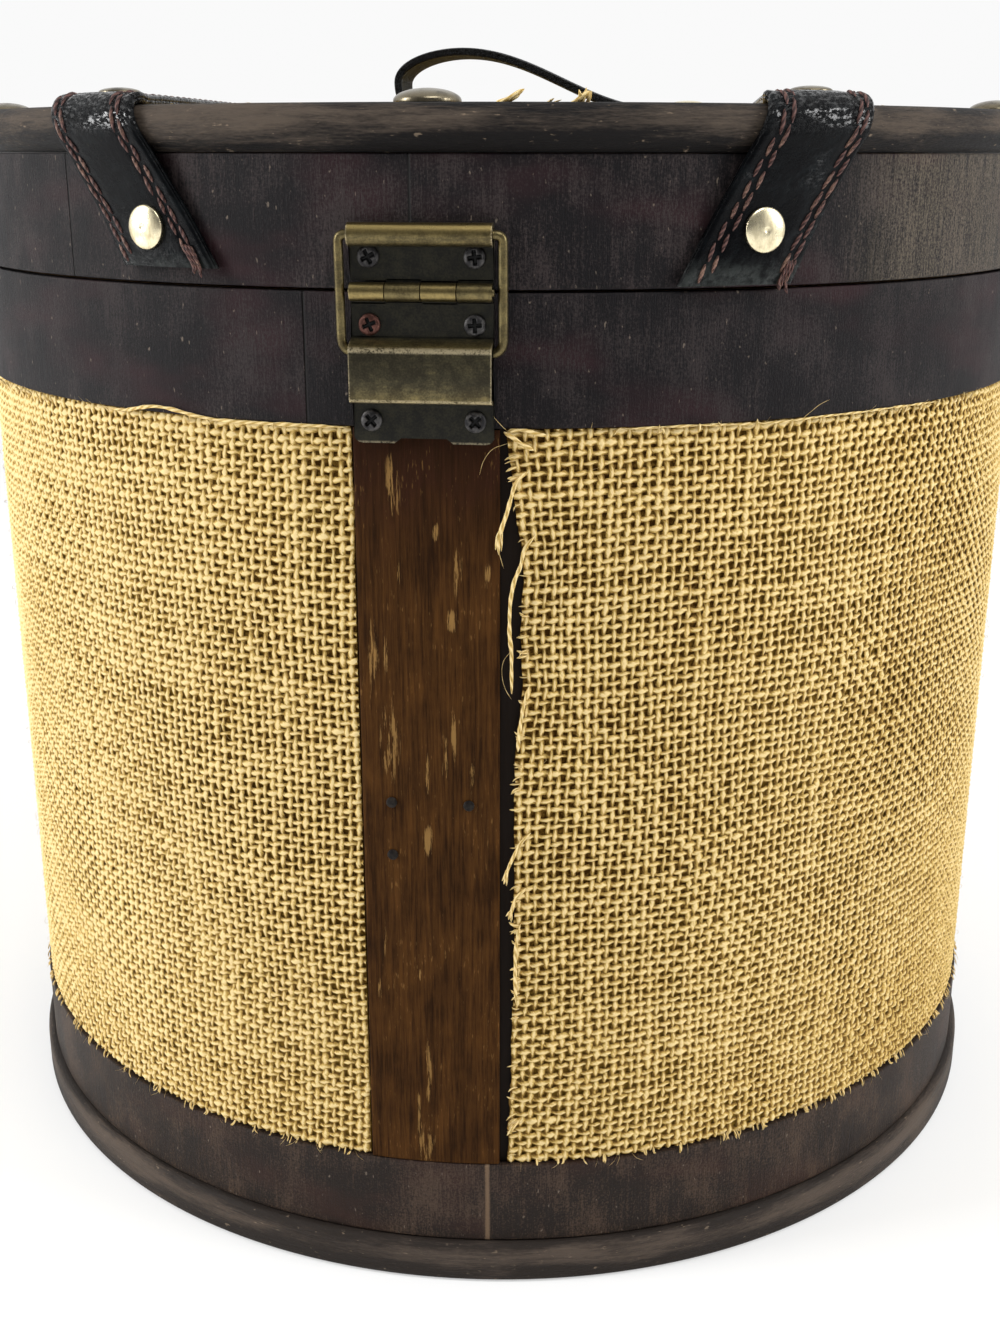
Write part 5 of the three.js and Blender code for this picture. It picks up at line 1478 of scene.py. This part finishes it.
def bent_sheet(course, stations, trim=None):
    """Sheet bent along a course of (outward, up) points and carried across x: the course is set off by
    half the thickness to both sides, and trim raises its last point by a length at each station."""
    along = unit(np.gradient(course, axis=0))
    normal = np.stack([-along[:, 1], along[:, 0]], -1)
    raised = np.repeat(course[None], len(stations), 0)
    if trim is not None:
        raised[:, -1, 1] += trim
    left = raised + normal * LEAF_T / 2
    right = raised - normal * LEAF_T / 2
    outline = np.concatenate([left, right[:, ::-1]], 1)
    x = np.asarray(stations)[:, None] + 0 * outline[..., 0]
    rings = np.stack([x, SKIN_Y - outline[..., 0], SEAM_Z + outline[..., 1]], -1)
    girth = run_along(np.vstack([outline[0], outline[0, :1]]))
    uv = stacked(girth[None, :], np.asarray(stations)[:, None])
    return closed_loft(rings, uv)


def soften(piece, width):
    """Rounds a bent piece's sharp edges."""
    bevel = piece.modifiers.new("worn_edges", "BEVEL")
    bevel.width, bevel.segments, bevel.limit_method = width, 2, "ANGLE"
    bevel.angle_limit = math.radians(40)


knuckle_edges = np.linspace(-LEAF_W / 2, LEAF_W / 2, 5)
upper_root = [(LEAF_MID, 0.0012), (LEAF_MID, 0.0026)]
upper_curl = np.vstack([arc(PIN_U, 0, KNUCKLE_R, 2.62, 1.0, 26), upper_root])
upper_rise = [(LEAF_MID, 0.0023), (LEAF_MID, 0.005)]
upper_plate = np.vstack([upper_rise, arc(ROLL_U, ROLL_W, ROLL_R, 1.0, -0.70, 34)])
lower_root = [(LEAF_MID, -0.0012), (LEAF_MID, -0.0026)]
lower_curl = np.vstack([arc(PIN_U, 0, KNUCKLE_R, -0.62, 1.0, 26), lower_root])
lower_plate = np.array([
    (LEAF_MID, -0.0023), (LEAF_MID, -0.0060), (LEAF_MID, -0.0094), (LEAF_MID + 0.0002, -0.0098),
    (CHANNEL_U - 0.0006, -0.0112), (CHANNEL_U - 0.0001, -0.0116), (CHANNEL_U, -0.0121),
    (CHANNEL_U, -0.0170), (CHANNEL_U, -0.0222), (CHANNEL_U - 0.0002, -0.0226),
    (CHANNEL_U - 0.0007, -0.0228), (LEAF_MID + 0.0005, -0.0234), (LEAF_MID, -0.0238),
    (LEAF_MID, -0.0280), (LEAF_MID, -LEAF_FOOT),
])
tab_half = np.array([0.0050, 0.0065, 0.0136, 0.0144, 0.0150, 0.0154])
trim_half = np.array([0.0011, 0.0, 0.0, 0.0002, 0.0006, 0.0012])
tab_stations = np.concatenate([-tab_half[::-1], tab_half])
tab_trim = np.concatenate([trim_half[::-1], trim_half])
upper_parts = [bent_sheet(upper_plate, np.linspace(-LEAF_W / 2, LEAF_W / 2, 9))]
lower_parts = [bent_sheet(lower_plate, tab_stations, tab_trim)]
for number, (x0, x1) in enumerate(zip(knuckle_edges[:-1], knuckle_edges[1:])):
    curl, parts = ((lower_curl, lower_parts), (upper_curl, upper_parts))[number % 2]
    parts.append(bent_sheet(curl, np.linspace(x0 + KNUCKLE_PLAY, x1 - KNUCKLE_PLAY, 5)))


def rolled(outward, up):
    """Worn bright on the rolled end and on the knuckles; the extra brass towards the roll's crown is partly wear
    and partly a painted highlight where the light from above falls.
    """
    # More brass towards the crown: partly wear, partly a painted highlight from above.
    roll = ease(up, 0.0088, 0.0098) * (0.42 + 0.55 * ease(up, 0.0112, 0.0140))
    return roll + ease(outward, 0.0014, 0.0021) * 0.45 * (1.0 - ease(up, 0.0030, 0.0040))


def roll_ends(across, outward, up):
    """Bare where the roll is cut off at both sides."""
    return ease(across, 0.01505, 0.0153) * ease(up, 0.0088, 0.0098) * 0.6


def raised(outward, up):
    """Worn on what stands out: the knuckles, the channel, its upper bend and its lower part; on the upper bend,
    which faces the light, the extra brass is partly a painted highlight.
    """
    # The upper bend: partly wear, partly a painted highlight where it faces the light.
    bend = ease(up, -0.0125, -0.0112) * (1.0 - ease(up, -0.0106, -0.0095))
    low = 1.0 - ease(up, -0.0235, -0.0180)
    shown = 0.36 * ease(up, -0.0040, -0.0030) + 0.26 + 0.20 * bend + 0.16 * low
    return ease(outward, 0.0014, 0.0021) * shown


def channel_edges(across, outward, up):
    """Bare along the channel's upper bend, its sides and its lower bend, and along the tab's foot."""
    bend = ease(up, -0.0127, -0.0121) * (1.0 - ease(up, -0.0116, -0.0111))
    sides, foot = ease(across, 0.01505, 0.0153), 1.0 - ease(up, -0.0226, -0.0221)
    channel = ease(outward, 0.0030, 0.0045) * (0.75 * bend + 0.45 * sides + 0.35 * foot)
    return channel + 0.30 * (1.0 - ease(up, -0.0322, -0.0318))


upper_leaf = put_mesh("hinge_plate_upper", *upper_parts, sharp=35)
soften(upper_leaf, LEAF_EASE)
upper_brass = aged_brass("brass_upper_leaf", rolled, roll_ends)
settle(upper_leaf, upper_brass, "lid", "antique_brass", "hinge_upper_leaf")
lower_leaf = put_mesh("hinge_plate_lower", *lower_parts, sharp=35)
soften(lower_leaf, LEAF_EASE)
lower_brass = aged_brass("brass_lower_leaf", raised, channel_edges)
settle(lower_leaf, lower_brass, "box", "antique_brass", "hinge_lower_leaf")


# Hinge pin: a length of brass wire through the knuckles of both leaves.
# Rubbed evenly bright, its ends peened over.
PIN_R = 0.0009
PIN_L = 0.0314
PIN_RUBBED = 0.44

bright_brass = aged_brass(
    "brass_rubbed", lambda outward, up: PIN_RUBBED + 0.0 * up, lambda across, outward, up: 0.0 * up)
pin_profile = np.array([
    (0, 0), (PIN_R * 0.8, 0.00005), (PIN_R, 0.0003),
    (PIN_R, PIN_L - 0.0003), (PIN_R * 0.8, PIN_L - 0.00005), (0, PIN_L),
])
pin_start = (-PIN_L / 2, SKIN_Y - PIN_U, SEAM_Z)
pin = put_mesh("hinge_pin_wire", cap_on(pin_profile, pin_start, (1, 0, 0), 20))
settle(pin, bright_brass, "box", "antique_brass", "hinge_pin")


# Flat spring: a strip of dark steel at the back of the raised channel, pressing on the bail.
# Its solid is shown as it is and only given the steel of the tacks.
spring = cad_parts["hinge_spring"]
spring.data.materials.clear()
spring.data.materials.append(dark_steel)


# Hinge screws: six wood screws through the leaves, into the bands and the batten.
# Dull dark steel pan heads with a crossed recess; one of them is coppery.
SCREW_R = 0.00235
SCREW_H = 0.0012
SCREW_SEAT = 0.00125
SCREW_X = 0.0114
SLOT_HALF = 0.00040
SLOT_REACH = 0.00150
SLOT_DEEP = 0.0008
SCREW_DEEP = (0.024, 0.023, 0.024, 1)
SCREW_WORN = (0.092, 0.088, 0.086, 1)
COPPERY_DEEP = (0.060, 0.026, 0.020, 1)
COPPERY = (0.165, 0.075, 0.060, 1)
RECESS_SHADE = (0.002, 0.002, 0.002, 1)


def screw_head(turn):
    """A pan head on a polar grid: a flat ellipse of height over radius, with a cross of two tapered
    slots let into it, turned by an angle. Gives points of (side, up, outward) and a uv on the slots."""
    reach = np.concatenate([np.linspace(0, 0.9, 22), [0.95, 0.985, 1.0, 1.0]])[:, None] * SCREW_R
    angle = np.linspace(0, 2 * np.pi, 73)[None, :]
    crown = SCREW_H * (0.42 + 0.58 * np.sqrt(1 - np.minimum(reach / SCREW_R, 1) ** 2.6))
    crown[-1] = -0.0001
    a, b = reach * np.cos(angle - turn), reach * np.sin(angle - turn)

    def slot(p, q):
        """One slot along q: two steep s-curves, over its half width and its half length."""
        wide = 1 / (1 + np.exp((np.abs(p) - SLOT_HALF) / 0.00005))
        return wide / (1 + np.exp((np.abs(q) - SLOT_REACH) / 0.00006))

    cross = np.maximum(slot(a, b), slot(b, a))
    height = crown - SLOT_DEEP * cross * (reach < 0.9 * SCREW_R)
    return np.stack([reach * np.cos(angle), reach * np.sin(angle), height], -1), np.stack([a, b], -1)


def screw_steel(name, deep, worn):
    """Dull metal between two colours, with the crossed recess of the head's uv painted black as shade."""
    finish, tone = new_finish(name)
    spot = object_spot(tone)
    wear = cloudy(tone, spot, (900, 900, 900), 3.0)
    cross = tone.node("ShaderNodeUVMap")
    a = abs(axis_of(cross, 0))
    b = abs(axis_of(cross, 1))
    narrow, wide = a.maths("MINIMUM", a, b), a.maths("MAXIMUM", a, b)
    # Painted shade: the crossed recess is coloured black and made not metallic.
    recess = (1.0 - ease(narrow, 0.00036, 0.00048)) * (1.0 - ease(wide, 0.00146, 0.00160))
    colour = mingle(recess, mingle(ease(wear, 0.35, 0.7), deep, worn), RECESS_SHADE)
    sockets = {"Base Color": colour, "Metallic": 0.75 * (1.0 - recess),
               "Roughness": 0.40 + 0.2 * wear, "Specular IOR Level": 0.2}
    close_finish(tone, sockets, wear, depth=0.00005)
    return finish


screw_dark = screw_steel("screw_dark", SCREW_DEEP, SCREW_WORN)
screw_coppery = screw_steel("screw_coppery", COPPERY_DEEP, COPPERY)
screws = [
    ("lid_1", "lid", -SCREW_X, 0.0072, 0.45), ("lid_2", "lid", SCREW_X, 0.0072, 0.12),
    ("body_1", "box", -SCREW_X, -0.0069, 0.40), ("body_2", "box", SCREW_X, -0.0069, 0.06),
    ("body_3", "box", -SCREW_X, -0.0274, 0.7), ("body_4", "box", SCREW_X, -0.0274, 0.8),
]
for name, body, x, w, turn in screws:
    local, uv = screw_head(turn)
    aside, up, outward = local[..., 0], local[..., 1], local[..., 2]
    points = np.stack([x + aside, SKIN_Y - SCREW_SEAT - outward, SEAM_Z + w + up], -1)
    screw = put_mesh(f"screw_{name}", skin(points[:, :-1], uv, turned=True), sharp=50)
    steel = screw_coppery if name == "body_1" else screw_dark
    settle(screw, steel, body, "dark_steel", f"hinge_screw_{name}")


# Support bail: one bent wire, its ends held in the upper leaf's roll and its lower bar in the channel.
# Rubbed brass, rounded at its four corners, hanging a little out from the box.
WIRE_R = 0.00105
BAIL_HALF = 0.0175
BAIL_L = 0.0246
BAIL_TILT = math.radians(2.5)
BAIL_GAP = 0.0016
UPPER_BEND = 0.0016
LOWER_BEND = 0.0032


def quarter(a, b, c, count=9):
    """Points of a parabola from a to c that touches both edges at the corner b."""
    t = np.linspace(0, 1, count)[:, None]
    return (1 - t) ** 2 * np.array(a) + 2 * (1 - t) * t * np.array(b) + t**2 * np.array(c)


top_corner, low_corner = (-BAIL_HALF, 0), (-BAIL_HALF, -BAIL_L)
left_top = quarter((-BAIL_HALF + UPPER_BEND, 0), top_corner, (-BAIL_HALF, -UPPER_BEND))
left_low = quarter((-BAIL_HALF, -BAIL_L + LOWER_BEND), low_corner, (-BAIL_HALF + LOWER_BEND, -BAIL_L))
left = np.vstack([
    np.linspace((-BAIL_GAP / 2, 0), left_top[0], 6)[:-1], left_top,
    np.linspace(left_top[-1], left_low[0], 10)[1:-1], left_low,
])
wire = np.vstack([left, np.linspace(left_low[-1], left_low[-1] * (-1, 1), 12)[1:-1], (left * (-1, 1))[::-1]])
wire_s = run_along(wire)
wire_t = unit(np.gradient(wire, wire_s, axis=0))
swing = np.arange(17) * 2 * np.pi / 16
wire_n = np.stack([-wire_t[:, 1], wire_t[:, 0]], -1)
side = wire[:, None] + WIRE_R * np.cos(swing[:-1])[None, :, None] * wire_n[:, None]
out = WIRE_R * np.sin(swing[:-1])[None, :] + 0 * side[..., 0]
y = out * math.cos(BAIL_TILT) - side[..., 1] * math.sin(BAIL_TILT)
z = side[..., 1] * math.cos(BAIL_TILT) + out * math.sin(BAIL_TILT)
rings = np.stack([side[..., 0], SKIN_Y - ROLL_U + y, SEAM_Z + ROLL_W + z], -1)
uv = stacked(swing[None, :] * WIRE_R, wire_s[:, None])
bail = put_mesh("bail_wire", closed_loft(rings, uv))
settle(bail, bright_brass, "bail", "antique_brass", "support_bail")
